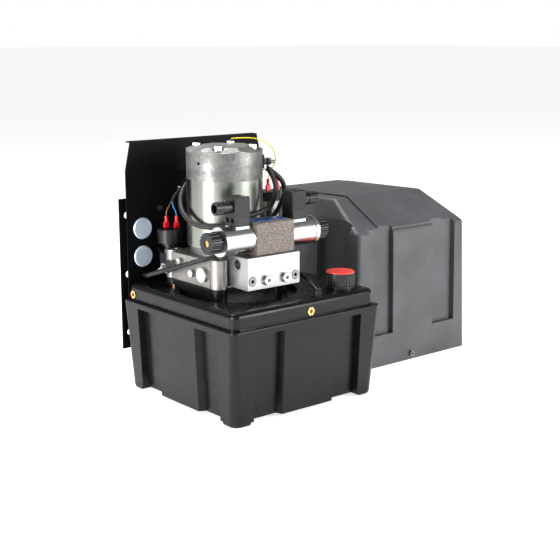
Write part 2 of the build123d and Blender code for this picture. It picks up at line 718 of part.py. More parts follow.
def override_pins():
    """Brass hand-override pins that rest on the armatures and show in the knobs."""
    with BuildPart() as pins:
        for side in SIDES:
            rod(side * ARMATURE_END, side * PIN_HEAD_START, PIN_RADIUS)
            rod(side * PIN_HEAD_START, side * PIN_END, PIN_HEAD_RADIUS)
            bored(side * (PIN_END - 1.5), side * PIN_END, 1.2)
    pins.part.label = "override_pins"
    export_step(pins.part, "parts/override_pins.step")


def solenoid_coils():
    """Zinc-plated coil shells round the core tubes, a collar at the outer end, a pad for the plug on top."""
    with BuildPart() as coils:
        for side in SIDES:
            rod(side * (TUBE_START + 0.4), side * COIL_END, COIL_RADIUS)
            rod(side * (COIL_END - 7), side * COIL_END, COIL_RING_RADIUS)
            with Locations((VALVE_X + side * PLUG_OFFSET, VALVE_Y, VALVE_AXIS_Z)):
                Box(26, 26, COIL_RADIUS, align=(Align.CENTER, Align.CENTER, Align.MIN))
        for side in SIDES:
            bored(side * TUBE_START, side * 92, TUBE_RADIUS)
    coils.part.label = "solenoid_coils"
    export_step(coils.part, "parts/solenoid_coils.step")


def coil_nuts():
    """Fluted knobs that hold the coils on their tubes."""
    with BuildPart() as nuts:
        for side in SIDES:
            rod(side * COIL_END, side * KNOB_END, KNOB_RADIUS)
            with BuildSketch(valve_axis(side * (COIL_END + 3))):
                with PolarLocations(KNOB_RADIUS + 0.9, 16):
                    Circle(2.3)
            extrude(amount=side * (KNOB_END - COIL_END), mode=Mode.SUBTRACT)
            bored(side * COIL_END, side * 97, TUBE_RADIUS)
            bored(side * 97, side * (KNOB_END + 1), PIN_HEAD_RADIUS + 0.4)
    nuts.part.label = "coil_nuts"
    export_step(nuts.part, "parts/coil_nuts.step")


def din_plugs():
    """Square rectifier plugs on the coils: ribbed housings with a gland socket pointing outwards."""
    with BuildPart() as plugs:
        for side in SIDES:
            x = VALVE_X + side * PLUG_OFFSET
            with BuildSketch(Plane(origin=(x, VALVE_Y, PLUG_BOTTOM_Z))):
                RectangleRounded(PLUG_SIZE, PLUG_SIZE, 2)
            extrude(amount=PLUG_TOP_Z - PLUG_BOTTOM_Z)
            with BuildSketch(valve_axis(side * (PLUG_OFFSET + PLUG_SIZE / 2 - 2))):
                with Locations((0, GLAND_Z - VALVE_AXIS_Z)):
                    Circle(9)
            extrude(amount=side * 13)
        chamfer(plugs.edges().group_by(Axis.Z)[-1], 1.2)
        for side in SIDES:
            x = VALVE_X + side * PLUG_OFFSET
            for step in range(11):
                z = PLUG_BOTTOM_Z + 14 + 2.6 * step
                with Locations((x, VALVE_Y - PLUG_SIZE / 2, z), (x, VALVE_Y + PLUG_SIZE / 2, z)):
                    Box(PLUG_SIZE + 1, 2.6, 1.1, mode=Mode.SUBTRACT)
            end = side * (PLUG_OFFSET + PLUG_SIZE / 2)
            with BuildSketch(valve_axis(end + side * 11)):
                with Locations((0, GLAND_Z - VALVE_AXIS_Z)):
                    Circle(ENTRY_RADIUS)
            extrude(amount=-side * 20, mode=Mode.SUBTRACT)
            with Locations(
                (VALVE_X + end, VALVE_Y - 6, PLUG_BOTTOM_Z + 9),
                (VALVE_X + end, VALVE_Y + 6, PLUG_BOTTOM_Z + 9),
            ):
                Box(6, 8, 7, mode=Mode.SUBTRACT)
            with Locations((x, VALVE_Y, PLUG_TOP_Z)):
                Hole(3.6, depth=4)
    plugs.part.label = "din_plugs"
    export_step(plugs.part, "parts/din_plugs.step")


def plug_glands():
    """Compression nuts on the plugs' cable entries, open for a cable."""
    start = PLUG_OFFSET + PLUG_SIZE / 2 + 11
    end = PLUG_OFFSET + PLUG_SIZE / 2 + GLAND_LENGTH
    with BuildPart() as glands:
        for side in SIDES:
            with BuildSketch(valve_axis(side * start)):
                with Locations((0, GLAND_Z - VALVE_AXIS_Z)):
                    Circle(9.8)
            extrude(amount=side * (end - start))
            with BuildSketch(valve_axis(side * (end - 12))):
                with Locations((0, GLAND_Z - VALVE_AXIS_Z)):
                    with PolarLocations(10.3, 12):
                        Circle(1.2)
            extrude(amount=side * 12, mode=Mode.SUBTRACT)
            with BuildSketch(valve_axis(side * start)):
                with Locations((0, GLAND_Z - VALVE_AXIS_Z)):
                    Circle(ENTRY_RADIUS)
            extrude(amount=side * (end - start), mode=Mode.SUBTRACT)
    glands.part.label = "plug_glands"
    export_step(glands.part, "parts/plug_glands.step")


def upright(z, height, radius, x=MOTOR_X, y=MOTOR_Y, mode=Mode.ADD):
    """Upright cylinder, on the motor's axis unless placed elsewhere, in the part being built."""
    with Locations((x, y, z)):
        Cylinder(radius, height, align=(Align.CENTER, Align.CENTER, Align.MIN), mode=mode)


BEARING_RADIUS = 14.0
LOW_BEARING_Z = 233.0
HIGH_BEARING_Z = 374.0
BEARING_HEIGHT = 9.0


def motor_flange():
    """Lower end shield with the bearing seat and a spigot in the manifold."""
    with BuildPart() as flange:
        upright(MANIFOLD_TOP_Z, CAN_BOTTOM_Z - MANIFOLD_TOP_Z, FLANGE_RADIUS)
        upright(CAN_BOTTOM_Z, 4, MOTOR_RADIUS - CAN_WALL)
        upright(MANIFOLD_TOP_Z - 6, 6, 20)
        upright(MANIFOLD_TOP_Z - 6, 30, 9.5, mode=Mode.SUBTRACT)
        upright(LOW_BEARING_Z, BEARING_HEIGHT + 10, BEARING_RADIUS, mode=Mode.SUBTRACT)
    flange.part.label = "motor_flange"
    export_step(flange.part, "parts/motor_flange.step")


def motor_can():
    with BuildPart() as can:
        upright(CAN_BOTTOM_Z, CAN_TOP_Z - CAN_BOTTOM_Z, MOTOR_RADIUS)
        upright(CAN_BOTTOM_Z, CAN_TOP_Z - CAN_BOTTOM_Z, MOTOR_RADIUS - CAN_WALL, mode=Mode.SUBTRACT)
    can.part.label = "motor_can"
    export_step(can.part, "parts/motor_can.step")


def motor_magnets():
    """Four ferrite arcs inside the can."""
    with BuildPart() as magnets:
        upright(262, 66, MOTOR_RADIUS - CAN_WALL)
        upright(262, 66, ROTOR_RADIUS + 1, mode=Mode.SUBTRACT)
        with Locations((MOTOR_X, MOTOR_Y, 262)):
            Box(14, 140, 66, align=(Align.CENTER, Align.CENTER, Align.MIN), mode=Mode.SUBTRACT)
            Box(140, 14, 66, align=(Align.CENTER, Align.CENTER, Align.MIN), mode=Mode.SUBTRACT)
    magnets.part.label = "motor_magnets"
    export_step(magnets.part, "parts/motor_magnets.step")


def motor_rotor():
    """Slotted iron core with winding heads, and the commutator above it."""
    with BuildPart() as rotor:
        upright(264, 62, ROTOR_RADIUS)
        with BuildSketch(Plane(origin=(MOTOR_X, MOTOR_Y, 264))):
            with PolarLocations(ROTOR_RADIUS - 4, 16):
                Rectangle(8.5, 3)
        extrude(amount=62, mode=Mode.SUBTRACT)
        upright(252, 12, 34)
        upright(326, 10, 34)
        upright(336, 18, 17)
        with BuildSketch(Plane(origin=(MOTOR_X, MOTOR_Y, 340))):
            with PolarLocations(17, 16):
                Rectangle(1.6, 0.8)
        extrude(amount=14, mode=Mode.SUBTRACT)
        upright(252, 110, SHAFT_RADIUS, mode=Mode.SUBTRACT)
    rotor.part.label = "motor_rotor"
    export_step(rotor.part, "parts/motor_rotor.step")


COUPLING_Z = 198.0


def motor_shaft():
    """Shaft from the upper bearing down to the coupling, flattened at its lower end."""
    with BuildPart() as shaft:
        upright(COUPLING_Z + 8, HIGH_BEARING_Z + BEARING_HEIGHT - COUPLING_Z - 8, SHAFT_RADIUS)
    shaft.part.label = "motor_shaft"
    export_step(shaft.part, "parts/motor_shaft.step")


def motor_bearings():
    """Bushes at both ends of the motor shaft."""
    with BuildPart() as bearings:
        for z in (LOW_BEARING_Z, HIGH_BEARING_Z):
            upright(z, BEARING_HEIGHT, BEARING_RADIUS)
            upright(z, BEARING_HEIGHT, SHAFT_RADIUS + RUNNING_FIT, mode=Mode.SUBTRACT)
    bearings.part.label = "motor_bearings"
    export_step(bearings.part, "parts/motor_bearings.step")


BRUSH_ANGLES = (0, 90, 180, 270)


def brush_holder():
    """Insulating ring at the top of the can with four brush boxes."""
    with BuildPart() as holder:
        upright(342, 4, MOTOR_RADIUS - CAN_WALL)
        upright(346, 8, 44)
        upright(342, 12, 20, mode=Mode.SUBTRACT)
        for angle in BRUSH_ANGLES:
            with BuildSketch(Plane(origin=(MOTOR_X, MOTOR_Y, 345)).rotated((0, 0, angle))):
                with Locations((32, 0)):
                    Rectangle(26, 9)
            extrude(amount=8, mode=Mode.SUBTRACT)
    holder.part.label = "brush_holder"
    export_step(holder.part, "parts/brush_holder.step")


def motor_brushes():
    with BuildPart() as brushes:
        for angle in BRUSH_ANGLES:
            with BuildSketch(Plane(origin=(MOTOR_X, MOTOR_Y, 345)).rotated((0, 0, angle))):
                with Locations((27, 0)):
                    Rectangle(17, 9)
            extrude(amount=8)
        upright(340, 20, 17.3, mode=Mode.SUBTRACT)
    brushes.part.label = "motor_brushes"
    export_step(brushes.part, "parts/motor_brushes.step")


CAP_FACET_Z = 389.5
CAP_PLATEAU = 42.0
STUD_ANGLE = -35.0
STUD_Z = 372.0
STUD_RADIUS = 3.0
FEED_BARREL = (0.7123, -0.4211, -0.5616)
GROUND_BARREL = (0.3371, -0.3186, -0.8859)
MAIN_BARREL = (0.2412, -0.5135, 0.8235)
PLATE_BARREL = (-0.533, -0.819, -0.211)
WIRE_BARREL = (-0.3932, -0.8839, 0.2531)


def radial_plane(angle, radius, z):
    """Upright plane facing out from the motor's axis at an angle from +X."""
    turn = math.radians(angle)
    out = (math.cos(turn), math.sin(turn), 0)
    return Plane(
        origin=(MOTOR_X + radius * out[0], MOTOR_Y + radius * out[1], z),
        x_dir=(-out[1], out[0], 0),
        z_dir=out,
    )


def motor_bolt_places(z):
    return [
        (
            MOTOR_X + MOTOR_BOLT_CIRCLE * math.cos(math.radians(angle)),
            MOTOR_Y + MOTOR_BOLT_CIRCLE * math.sin(math.radians(angle)),
            z,
        )
        for angle in MOTOR_BOLT_ANGLES
    ]


def motor_end_cap():
    """Cast cap with six sloping facets round its top, bearing seat inside and pockets for the bolts."""
    with BuildPart() as crown:
        for z, reach in ((CAP_FACET_Z, MOTOR_RADIUS + 0.5), (CAP_TOP_Z, CAP_PLATEAU)):
            with BuildSketch(Plane(origin=(MOTOR_X, MOTOR_Y, z))):
                RegularPolygon(reach, 6, major_radius=False, rotation=16)
        loft()
        with Locations((MOTOR_X, MOTOR_Y, CAP_FACET_Z)):
            Cylinder(
                MOTOR_RADIUS,
                CAP_TOP_Z - CAP_FACET_Z,
                align=(Align.CENTER, Align.CENTER, Align.MIN),
                mode=Mode.INTERSECT,
            )
    with BuildPart() as cap:
        upright(CAN_TOP_Z, CAP_FACET_Z - CAN_TOP_Z, MOTOR_RADIUS)
        add(crown.part)
        upright(CAN_TOP_Z, 27, MOTOR_RADIUS - 5, mode=Mode.SUBTRACT)
        upright(CAN_TOP_Z, HIGH_BEARING_Z + BEARING_HEIGHT - CAN_TOP_Z, BEARING_RADIUS, mode=Mode.SUBTRACT)
        with Locations(*motor_bolt_places(BOLT_SEAT_Z)):
            Cylinder(9, 20, align=(Align.CENTER, Align.CENTER, Align.MIN), mode=Mode.SUBTRACT)
            Hole(3, depth=30)
        with Locations(radial_plane(192, MOTOR_RADIUS, 374)):
            Hole(2.5, depth=12)
        with Locations(radial_plane(STUD_ANGLE, MOTOR_RADIUS, STUD_Z)):
            Hole(6, depth=12)
    cap.part.label = "motor_end_cap"
    export_step(cap.part, "parts/motor_end_cap.step")


def motor_bolts():
    """Hexagon-flange through bolts of the motor."""
    with BuildPart() as bolts:
        with Locations(*motor_bolt_places(BOLT_SEAT_Z)):
            Cylinder(3, 24, align=(Align.CENTER, Align.CENTER, Align.MAX))
            Cylinder(7.6, BOLT_FLANGE, align=(Align.CENTER, Align.CENTER, Align.MIN))
        for x, y, z in motor_bolt_places(BOLT_SEAT_Z + BOLT_FLANGE):
            with BuildSketch(Plane(origin=(x, y, z))):
                RegularPolygon(6.6, 6)
            extrude(amount=BOLT_HEAD)
    bolts.part.label = "motor_bolts"
    export_step(bolts.part, "parts/motor_bolts.step")


def involute_point(base, spread, turn):
    """Point of an involute of a base circle after unrolling by an angle, turned about the centre."""
    x = base * (math.cos(spread) + spread * math.sin(spread))
    y = base * (math.sin(spread) - spread * math.cos(spread))
    return (
        x * math.cos(turn) - y * math.sin(turn),
        x * math.sin(turn) + y * math.cos(turn),
    )


def gear_outline():
    """Involute teeth with working backlash, joined on to the root circle."""
    base = GEAR_PITCH * math.cos(PRESSURE_ANGLE)
    pitch_spread = math.tan(PRESSURE_ANGLE)
    tip_spread = math.sqrt((GEAR_TIP / base) ** 2 - 1)
    half_tooth = 0.88 * math.pi / (2 * GEAR_TEETH)
    turn = -half_tooth - (pitch_spread - PRESSURE_ANGLE)
    steps = [tip_spread * step / 4 for step in range(5)]
    lower = [involute_point(base, spread, turn) for spread in steps]
    upper = [(x, -y) for x, y in reversed(lower)]
    root_inside = (GEAR_ROOT - 1) / base
    with BuildSketch() as tooth:
        with BuildLine():
            Spline(*lower)
            Line(lower[-1], upper[0])
            Spline(*upper)
            Line(upper[-1], (upper[-1][0] * root_inside, upper[-1][1] * root_inside))
            root_start = (upper[-1][0] * root_inside, upper[-1][1] * root_inside)
            root_end = (lower[0][0] * root_inside, lower[0][1] * root_inside)
            Line(root_start, root_end)
            Line((lower[0][0] * root_inside, lower[0][1] * root_inside), lower[0])
        make_face()
    with BuildSketch() as outline:
        Circle(GEAR_ROOT)
        with PolarLocations(0, GEAR_TEETH):
            add(tooth.sketch)
    return outline.sketch


GEAR_Z = PUMP_WALL_Z + 0.1
GEAR_SHAFT = 6.0


def drive_gear():
    """Pump gear on its own shaft, up to the motor shaft's end."""
    with BuildPart() as gear:
        with BuildSketch(Plane(origin=(MOTOR_X, MOTOR_Y, GEAR_Z))):
            add(gear_outline())
        extrude(amount=GEAR_WIDTH)
        upright(PUMP_BOTTOM_Z + 2, COUPLING_Z + 8 - PUMP_BOTTOM_Z - 2, GEAR_SHAFT)
    gear.part.label = "drive_gear"
    export_step(gear.part, "parts/drive_gear.step")


def driven_gear():
    with BuildPart() as gear:
        seat = Plane(origin=(MOTOR_X + GEAR_DISTANCE, MOTOR_Y, GEAR_Z))
        with BuildSketch(seat.rotated((0, 0, 180 + 180 / GEAR_TEETH))):
            add(gear_outline())
        extrude(amount=GEAR_WIDTH)
        upright(PUMP_BOTTOM_Z + 2, 40, GEAR_SHAFT, x=MOTOR_X + GEAR_DISTANCE)
    gear.part.label = "driven_gear"
    export_step(gear.part, "parts/driven_gear.step")


def pump_body():
    """Pump housing hung from the manifold, with the gear chamber open below."""
    with BuildPart() as body:
        with BuildSketch(Plane(origin=(MOTOR_X + GEAR_DISTANCE / 2, MOTOR_Y, PUMP_WALL_Z))):
            RectangleRounded(GEAR_DISTANCE + 36, 38, 6)
        extrude(amount=MANIFOLD_BOTTOM_Z - PUMP_WALL_Z)
        for x in (MOTOR_X, MOTOR_X + GEAR_DISTANCE):
            upright(PUMP_WALL_Z, GEAR_WIDTH + 0.2, GEAR_TIP + 0.1, x=x, mode=Mode.SUBTRACT)
        upright(PUMP_WALL_Z, 60, GEAR_SHAFT + RUNNING_FIT, mode=Mode.SUBTRACT)
        upright(PUMP_WALL_Z, 33, GEAR_SHAFT + RUNNING_FIT, x=MOTOR_X + GEAR_DISTANCE, mode=Mode.SUBTRACT)
        for side in SIDES:
            with Locations((MOTOR_X + GEAR_DISTANCE / 2, MOTOR_Y + side * 11, PUMP_WALL_Z)):
                Cylinder(4, 38, align=(Align.CENTER, Align.CENTER, Align.MIN), mode=Mode.SUBTRACT)
    body.part.label = "pump_body"
    export_step(body.part, "parts/pump_body.step")


def pump_cover():
    with BuildPart() as cover_plate:
        with BuildSketch(Plane(origin=(MOTOR_X + GEAR_DISTANCE / 2, MOTOR_Y, PUMP_BOTTOM_Z))):
            RectangleRounded(GEAR_DISTANCE + 36, 38, 6)
        extrude(amount=PUMP_WALL_Z - PUMP_BOTTOM_Z)
        for x in (MOTOR_X, MOTOR_X + GEAR_DISTANCE):
            upright(PUMP_BOTTOM_Z + 2, 20, GEAR_SHAFT + RUNNING_FIT, x=x, mode=Mode.SUBTRACT)
        with Locations((MOTOR_X + GEAR_DISTANCE / 2, MOTOR_Y - 11, PUMP_BOTTOM_Z)):
            Cylinder(4, 10, align=(Align.CENTER, Align.CENTER, Align.MIN), mode=Mode.SUBTRACT)
    cover_plate.part.label = "pump_cover"
    export_step(cover_plate.part, "parts/pump_cover.step")


def tank_pipes():
    """Suction pipe with its strainer under the pump, and the return pipe beside it."""
    with BuildPart() as pipes:
        suction = (MOTOR_X + GEAR_DISTANCE / 2, MOTOR_Y - 11)
        upright(45, PUMP_BOTTOM_Z - 45, 6, x=suction[0], y=suction[1])
        upright(20, 28, 19, x=suction[0], y=suction[1])
        upright(23, 99, 4, x=suction[0], y=suction[1], mode=Mode.SUBTRACT)
        upright(23, 21, 17, x=suction[0], y=suction[1], mode=Mode.SUBTRACT)
        upright(40, MANIFOLD_BOTTOM_Z - 40, 5, x=MOTOR_X - 31, y=MOTOR_Y - 15)
        upright(40, MANIFOLD_BOTTOM_Z - 40, 3.8, x=MOTOR_X - 31, y=MOTOR_Y - 15, mode=Mode.SUBTRACT)
    pipes.part.label = "tank_pipes"
    export_step(pipes.part, "parts/tank_pipes.step")


SHELF_THICK = 2.5
PLUNGER_RADIUS = 7.0
CABLE_ANGLE = -125.0
CABLE_Z = 246.0
MAIN_ANGLES = (-120.0, 60.0)
MAIN_TERMINAL_Z = 262.0


def contactor_bracket():
    """Bent bracket on the manifold's right face that carries the contactor."""
    right = MANIFOLD_X + MANIFOLD_LENGTH / 2
    top = CONTACTOR_BOTTOM_Z
    with BuildPart() as bracket:
        with Locations((right, CONTACTOR_Y, top - 30)):
            Box(SHELF_THICK, 50, 30, align=(Align.MIN, Align.CENTER, Align.MIN))
        with Locations((right, CONTACTOR_Y, top - SHELF_THICK)):
            Box(46, 50, SHELF_THICK, align=(Align.MIN, Align.CENTER, Align.MIN))
    bracket.part.label = "contactor_bracket"
    export_step(bracket.part, "parts/contactor_bracket.step")


def contactor_plane(angle, radius, z):
    """Upright plane facing out from the contactor's axis at an angle from +X."""
    turn = math.radians(angle)
    out = (math.cos(turn), math.sin(turn), 0)
    return Plane(
        origin=(CONTACTOR_X + radius * out[0], CONTACTOR_Y + radius * out[1], z),
        x_dir=(-out[1], out[0], 0),
        z_dir=out,
    )


def contactor_body():
    """Steel can of the contactor, hollow for its plunger, with a gland for the control cable."""
    height = CONTACTOR_BODY_TOP_Z - CONTACTOR_BOTTOM_Z
    with BuildPart() as can:
        upright(CONTACTOR_BOTTOM_Z, height, CONTACTOR_RADIUS, x=CONTACTOR_X, y=CONTACTOR_Y)
        fillet(can.edges().group_by(Axis.Z)[0], 2)
        with Locations(contactor_plane(CABLE_ANGLE, CONTACTOR_RADIUS - 2, CABLE_Z)):
            Cylinder(5, 6, align=(Align.CENTER, Align.CENTER, Align.MIN))
        chamber = PLUNGER_RADIUS + 0.4
        chamber_z = CONTACTOR_BOTTOM_Z + 20
        upright(chamber_z, height - 20, chamber, x=CONTACTOR_X, y=CONTACTOR_Y, mode=Mode.SUBTRACT)
    can.part.label = "contactor_body"
    export_step(can.part, "parts/contactor_body.step")


def contactor_plunger():
    """Moving core with its contact disc."""
    with BuildPart() as plunger:
        upright(CONTACTOR_BOTTOM_Z + 21, 53, PLUNGER_RADIUS, x=CONTACTOR_X, y=CONTACTOR_Y)
        upright(CONTACTOR_BOTTOM_Z + 74, 2.5, 12, x=CONTACTOR_X, y=CONTACTOR_Y)
    plunger.part.label = "contactor_plunger"
    export_step(plunger.part, "parts/contactor_plunger.step")


def contactor_cap():
    """Moulded head with room for the contact disc."""
    height = CONTACTOR_CAP_TOP_Z - CONTACTOR_BODY_TOP_Z
    with BuildPart() as cap:
        upright(CONTACTOR_BODY_TOP_Z, height, CONTACTOR_RADIUS, x=CONTACTOR_X, y=CONTACTOR_Y)
        fillet(cap.edges().group_by(Axis.Z)[-1], 2)
        upright(CONTACTOR_BODY_TOP_Z, 8, 13, x=CONTACTOR_X, y=CONTACTOR_Y, mode=Mode.SUBTRACT)
        for x, y in spade_places()[2:]:
            with Locations((x, y, CONTACTOR_CAP_TOP_Z)):
                Box(6.3, 0.8, 9, align=(Align.CENTER, Align.CENTER, Align.MIN))
    cap.part.label = "contactor_cap"
    export_step(cap.part, "parts/contactor_cap.step")


def pressure_switch():
    """Screw-in switch on an adapter behind the manifold: hexagon, collar and round ribbed head."""
    back_y = MANIFOLD_Y + MANIFOLD_DEPTH / 2
    with BuildPart() as switch:
        with Locations((SWITCH_X + 5, back_y, 198)):
            Box(34, 30, 24, align=(Align.CENTER, Align.MIN, Align.MIN))
        upright(190, 50, BOSS_RADIUS, x=MANIFOLD_X - BOSS_DX, y=MANIFOLD_Y + BOSS_DY, mode=Mode.SUBTRACT)
        with BuildSketch(Plane(origin=(SWITCH_X, SWITCH_Y, 222))):
            RegularPolygon(10.5, 6)
        extrude(amount=6)
        upright(228, 7, 9, x=SWITCH_X, y=SWITCH_Y)
        upright(234, 6, 13, x=SWITCH_X, y=SWITCH_Y)
        upright(239, SWITCH_TOP_Z - 239, SWITCH_RADIUS, x=SWITCH_X, y=SWITCH_Y)
        chamfer(switch.edges().group_by(Axis.Z)[-1], 1.0)
        for x, y in spade_places()[:2]:
            with Locations((x, y, SWITCH_TOP_Z)):
                Box(6.3, 0.8, 9, align=(Align.CENTER, Align.CENTER, Align.MIN))
    switch.part.label = "pressure_switch"
    export_step(switch.part, "parts/pressure_switch.step")


def spade_places():
    """Plan positions of the four push-on terminals: two on the switch, two on the contactor."""
    return [
        (SWITCH_X - 5, SWITCH_Y + 2),
        (SWITCH_X + 8, SWITCH_Y - 8),
        (CONTACTOR_X - 10, CONTACTOR_Y - 12),
        (CONTACTOR_X + 12, CONTACTOR_Y - 8),
    ]


SPADE_LENGTH = 21.0


def spade_connectors():
    """Insulated push-on connectors: a flat hood below and a round barrel above."""
    with BuildPart() as spades:
        feet = (SWITCH_TOP_Z, SWITCH_TOP_Z, CONTACTOR_CAP_TOP_Z, CONTACTOR_CAP_TOP_Z)
        for (x, y), foot_z in zip(spade_places(), feet):
            with Locations((x, y, foot_z + 2)):
                Box(8, 4.4, 9, align=(Align.CENTER, Align.CENTER, Align.MIN))
                Box(6.3, 0.8, 7, align=(Align.CENTER, Align.CENTER, Align.MIN), mode=Mode.SUBTRACT)
            upright(foot_z + 10, SPADE_LENGTH - 10, 2.6, x=x, y=y)
    spades.part.label = "spade_connectors"
    export_step(spades.part, "parts/spade_connectors.step")


PLATE_BACK_Y = PLATE_FRONT_Y + PLATE_THICK
PLATE_BOTTOM_Z = LEDGE_Z + 0.5
BLANKING_HOLE = 15.0
CABLE_HOLES = [(-269.8, 182.2, 5.0), (-199.2, 317.9, 4.2), (-183.1, 318.2, 2.2)]
GROUND_X = -165.0
GROUND_Z = 352.0


def backplate():
    """Folded steel plate behind the motor, with bevelled top corners and a lip along the top."""
    half = PLATE_LENGTH / 2
    with BuildPart() as plate:
        with BuildSketch(Plane.XZ.offset(-PLATE_BACK_Y)):
            with BuildLine():
                Polyline(
                    (PLATE_X - half, PLATE_BOTTOM_Z),
                    (PLATE_X + half, PLATE_BOTTOM_Z),
                    (PLATE_X + half, PLATE_BEVEL_Z),
                    (PLATE_X + half - PLATE_BEVEL, PLATE_TOP_Z),
                    (PLATE_X - half + PLATE_BEVEL, PLATE_TOP_Z),
                    (PLATE_X - half, PLATE_BEVEL_Z),
                    close=True,
                )
            make_face()
        extrude(amount=PLATE_THICK)
        with Locations((PLATE_X, PLATE_BACK_Y, PLATE_TOP_Z)):
            Box(PLATE_LENGTH - 2 * PLATE_BEVEL, 12, PLATE_THICK, align=(Align.CENTER, Align.MIN, Align.MAX))
        faces_out = Plane(origin=(0, PLATE_FRONT_Y, 0), x_dir=(1, 0, 0), z_dir=(0, -1, 0))
        with Locations(faces_out):
            with Locations((BLANKING_X, BLANKING_LOW_Z), (BLANKING_X, BLANKING_HIGH_Z)):
                Hole(BLANKING_HOLE, depth=PLATE_THICK)
            for x, z, radius in CABLE_HOLES:
                with Locations((x, z)):
                    Hole(radius, depth=PLATE_THICK)
            with Locations((GROUND_X, GROUND_Z)):
                Hole(3, depth=PLATE_THICK)
        with Locations(*plate_screw_places()):
            Hole(SCREW_M6, depth=PLATE_THICK)
    plate.part.label = "backplate"
    export_step(plate.part, "parts/backplate.step")


RAIL_WIDTH = 59.0
RAIL_INNER = 20.0
RAIL_MARGIN = 14.0


def plate_screw_places():
    """Screw planes on the backplate: two from behind into the tank's rim, four from in front."""
    rim = [
        Plane(
            origin=(PLATE_X + side * REAR_INSERT_SPACING / 2, PLATE_BACK_Y, INSERT_Z),
            x_dir=(-1, 0, 0),
            z_dir=(0, 1, 0),
        )
        for side in SIDES
    ]
    rail_x = RAIL_HOLE_DX + RAIL_MARGIN - RAIL_WIDTH - RAIL_INNER / 2
    rails = [
        Plane(origin=(PLATE_X + side * rail_x, PLATE_FRONT_Y, z), x_dir=(1, 0, 0), z_dir=(0, -1, 0))
        for side in SIDES
        for z in (220.0, 290.0)
    ]
    return rim + rails


def mounting_rails():
    """Folded rails behind the plate: an outer wall flange with three holes, a web and an inner flange."""
    with BuildPart() as rails:
        for side in SIDES:
            outer = PLATE_X + side * (RAIL_HOLE_DX + RAIL_MARGIN)
            web = outer - side * RAIL_WIDTH
            height = RAIL_TOP_Z - RAIL_BOTTOM_Z
            with Locations((outer, RAIL_FRONT_Y, RAIL_BOTTOM_Z)):
                outer_edge = Align.MIN if side < 0 else Align.MAX
                Box(RAIL_WIDTH, RAIL_THICK, height, align=(outer_edge, Align.MIN, Align.MIN))
            with Locations((web, PLATE_BACK_Y, PLATE_BOTTOM_Z)):
                Box(
                    RAIL_THICK,
                    RAIL_FRONT_Y + RAIL_THICK - PLATE_BACK_Y,
                    RAIL_TOP_Z - PLATE_BOTTOM_Z,
                    align=(Align.MAX if side < 0 else Align.MIN, Align.MIN, Align.MIN),
                )
                Box(
                    RAIL_INNER,
                    RAIL_THICK,
                    RAIL_TOP_Z - PLATE_BOTTOM_Z,
                    align=(Align.MIN if side < 0 else Align.MAX, Align.MIN, Align.MIN),
                )
        with Locations(Plane(origin=(PLATE_X, RAIL_FRONT_Y, RAIL_MID_Z), x_dir=(1, 0, 0), z_dir=(0, -1, 0))):
            with GridLocations(2 * RAIL_HOLE_DX, RAIL_HOLE_PITCH, 2, 3):
                Hole(RAIL_HOLE, depth=RAIL_THICK)
        with Locations(*plate_screw_places()[2:]):
            Hole(SCREW_M6, depth=PLATE_THICK + RAIL_THICK)
    rails.part.label = "mounting_rails"
    export_step(rails.part, "parts/mounting_rails.step")


def plate_screws():
    with BuildPart() as screws:
        for place, length in zip(plate_screw_places(), (10.5, 10.5, 8.0, 8.0, 8.0, 8.0)):
            with BuildSketch(place):
                Circle(5)
            extrude(amount=2.4)
            with BuildSketch(place):
                Circle(SCREW_M6)
            extrude(amount=-length)
            with BuildSketch(place.offset(2.4)):
                RegularPolygon(2.0, 6)
            extrude(amount=-1.8, mode=Mode.SUBTRACT)
    screws.part.label = "plate_screws"
    export_step(screws.part, "parts/plate_screws.step")


def blanking_plugs():
    """Two snap-in plugs with thin domed heads in the backplate's cable holes."""
    with BuildPart() as plugs:
        for z in (BLANKING_LOW_Z, BLANKING_HIGH_Z):
            head = Plane(origin=(BLANKING_X, PLATE_FRONT_Y, z), x_dir=(1, 0, 0), z_dir=(0, -1, 0))
            with BuildSketch(head):
                Circle(17.5)
            extrude(amount=2.2, taper=35)
            with BuildSketch(head):
                Circle(BLANKING_HOLE)
            extrude(amount=-7)
            with BuildSketch(head.offset(-7)):
                Circle(13)
            extrude(amount=6, mode=Mode.SUBTRACT)
    plugs.part.label = "blanking_plugs"
    export_step(plugs.part, "parts/blanking_plugs.step")


COVER_FACE_LEAN = 5.0
COVER_TOP_FRONT_Y = 0.0
COVER_ROOF_TAPER = 25.0
COVER_ROOF_FALL = 4.0
COVER_EDGE = 9.0
COVER_PANEL_RISE = 3.0
COVER_ROOF_Z = COVER_HEIGHT - COVER_PANEL_RISE


def cover_side_outline(inset):
    """Side view of the cover as y, z points, moved in by a wall thickness all round but at its open edges."""
    front = COVER_FRONT_Y + inset
    lean = COVER_FACE_LEAN
    shoulder = COVER_SHOULDER_Z - 0.4 * inset
    return [
        (front, 0),
        (front + lean, shoulder),
        (COVER_TOP_FRONT_Y + 0.35 * inset, COVER_ROOF_Z - inset),
        (COVER_BACK_Y, COVER_ROOF_Z - COVER_ROOF_FALL - inset),
        (COVER_BACK_Y, 0),
    ]


def cover_front_outline(inset):
    """Front view of the cover as x, z points, with drafted sides and a narrower roof."""
    half = COVER_LENGTH / 2 - inset
    shoulder = half - COVER_DRAFT
    roof = shoulder - COVER_ROOF_TAPER
    return [
        (COVER_X - half, 0),
        (COVER_X - shoulder, COVER_SHOULDER_Z),
        (COVER_X - roof, COVER_ROOF_Z - inset),
        (COVER_X + roof, COVER_ROOF_Z - inset),
        (COVER_X + shoulder, COVER_SHOULDER_Z),
        (COVER_X + half, 0),
    ]


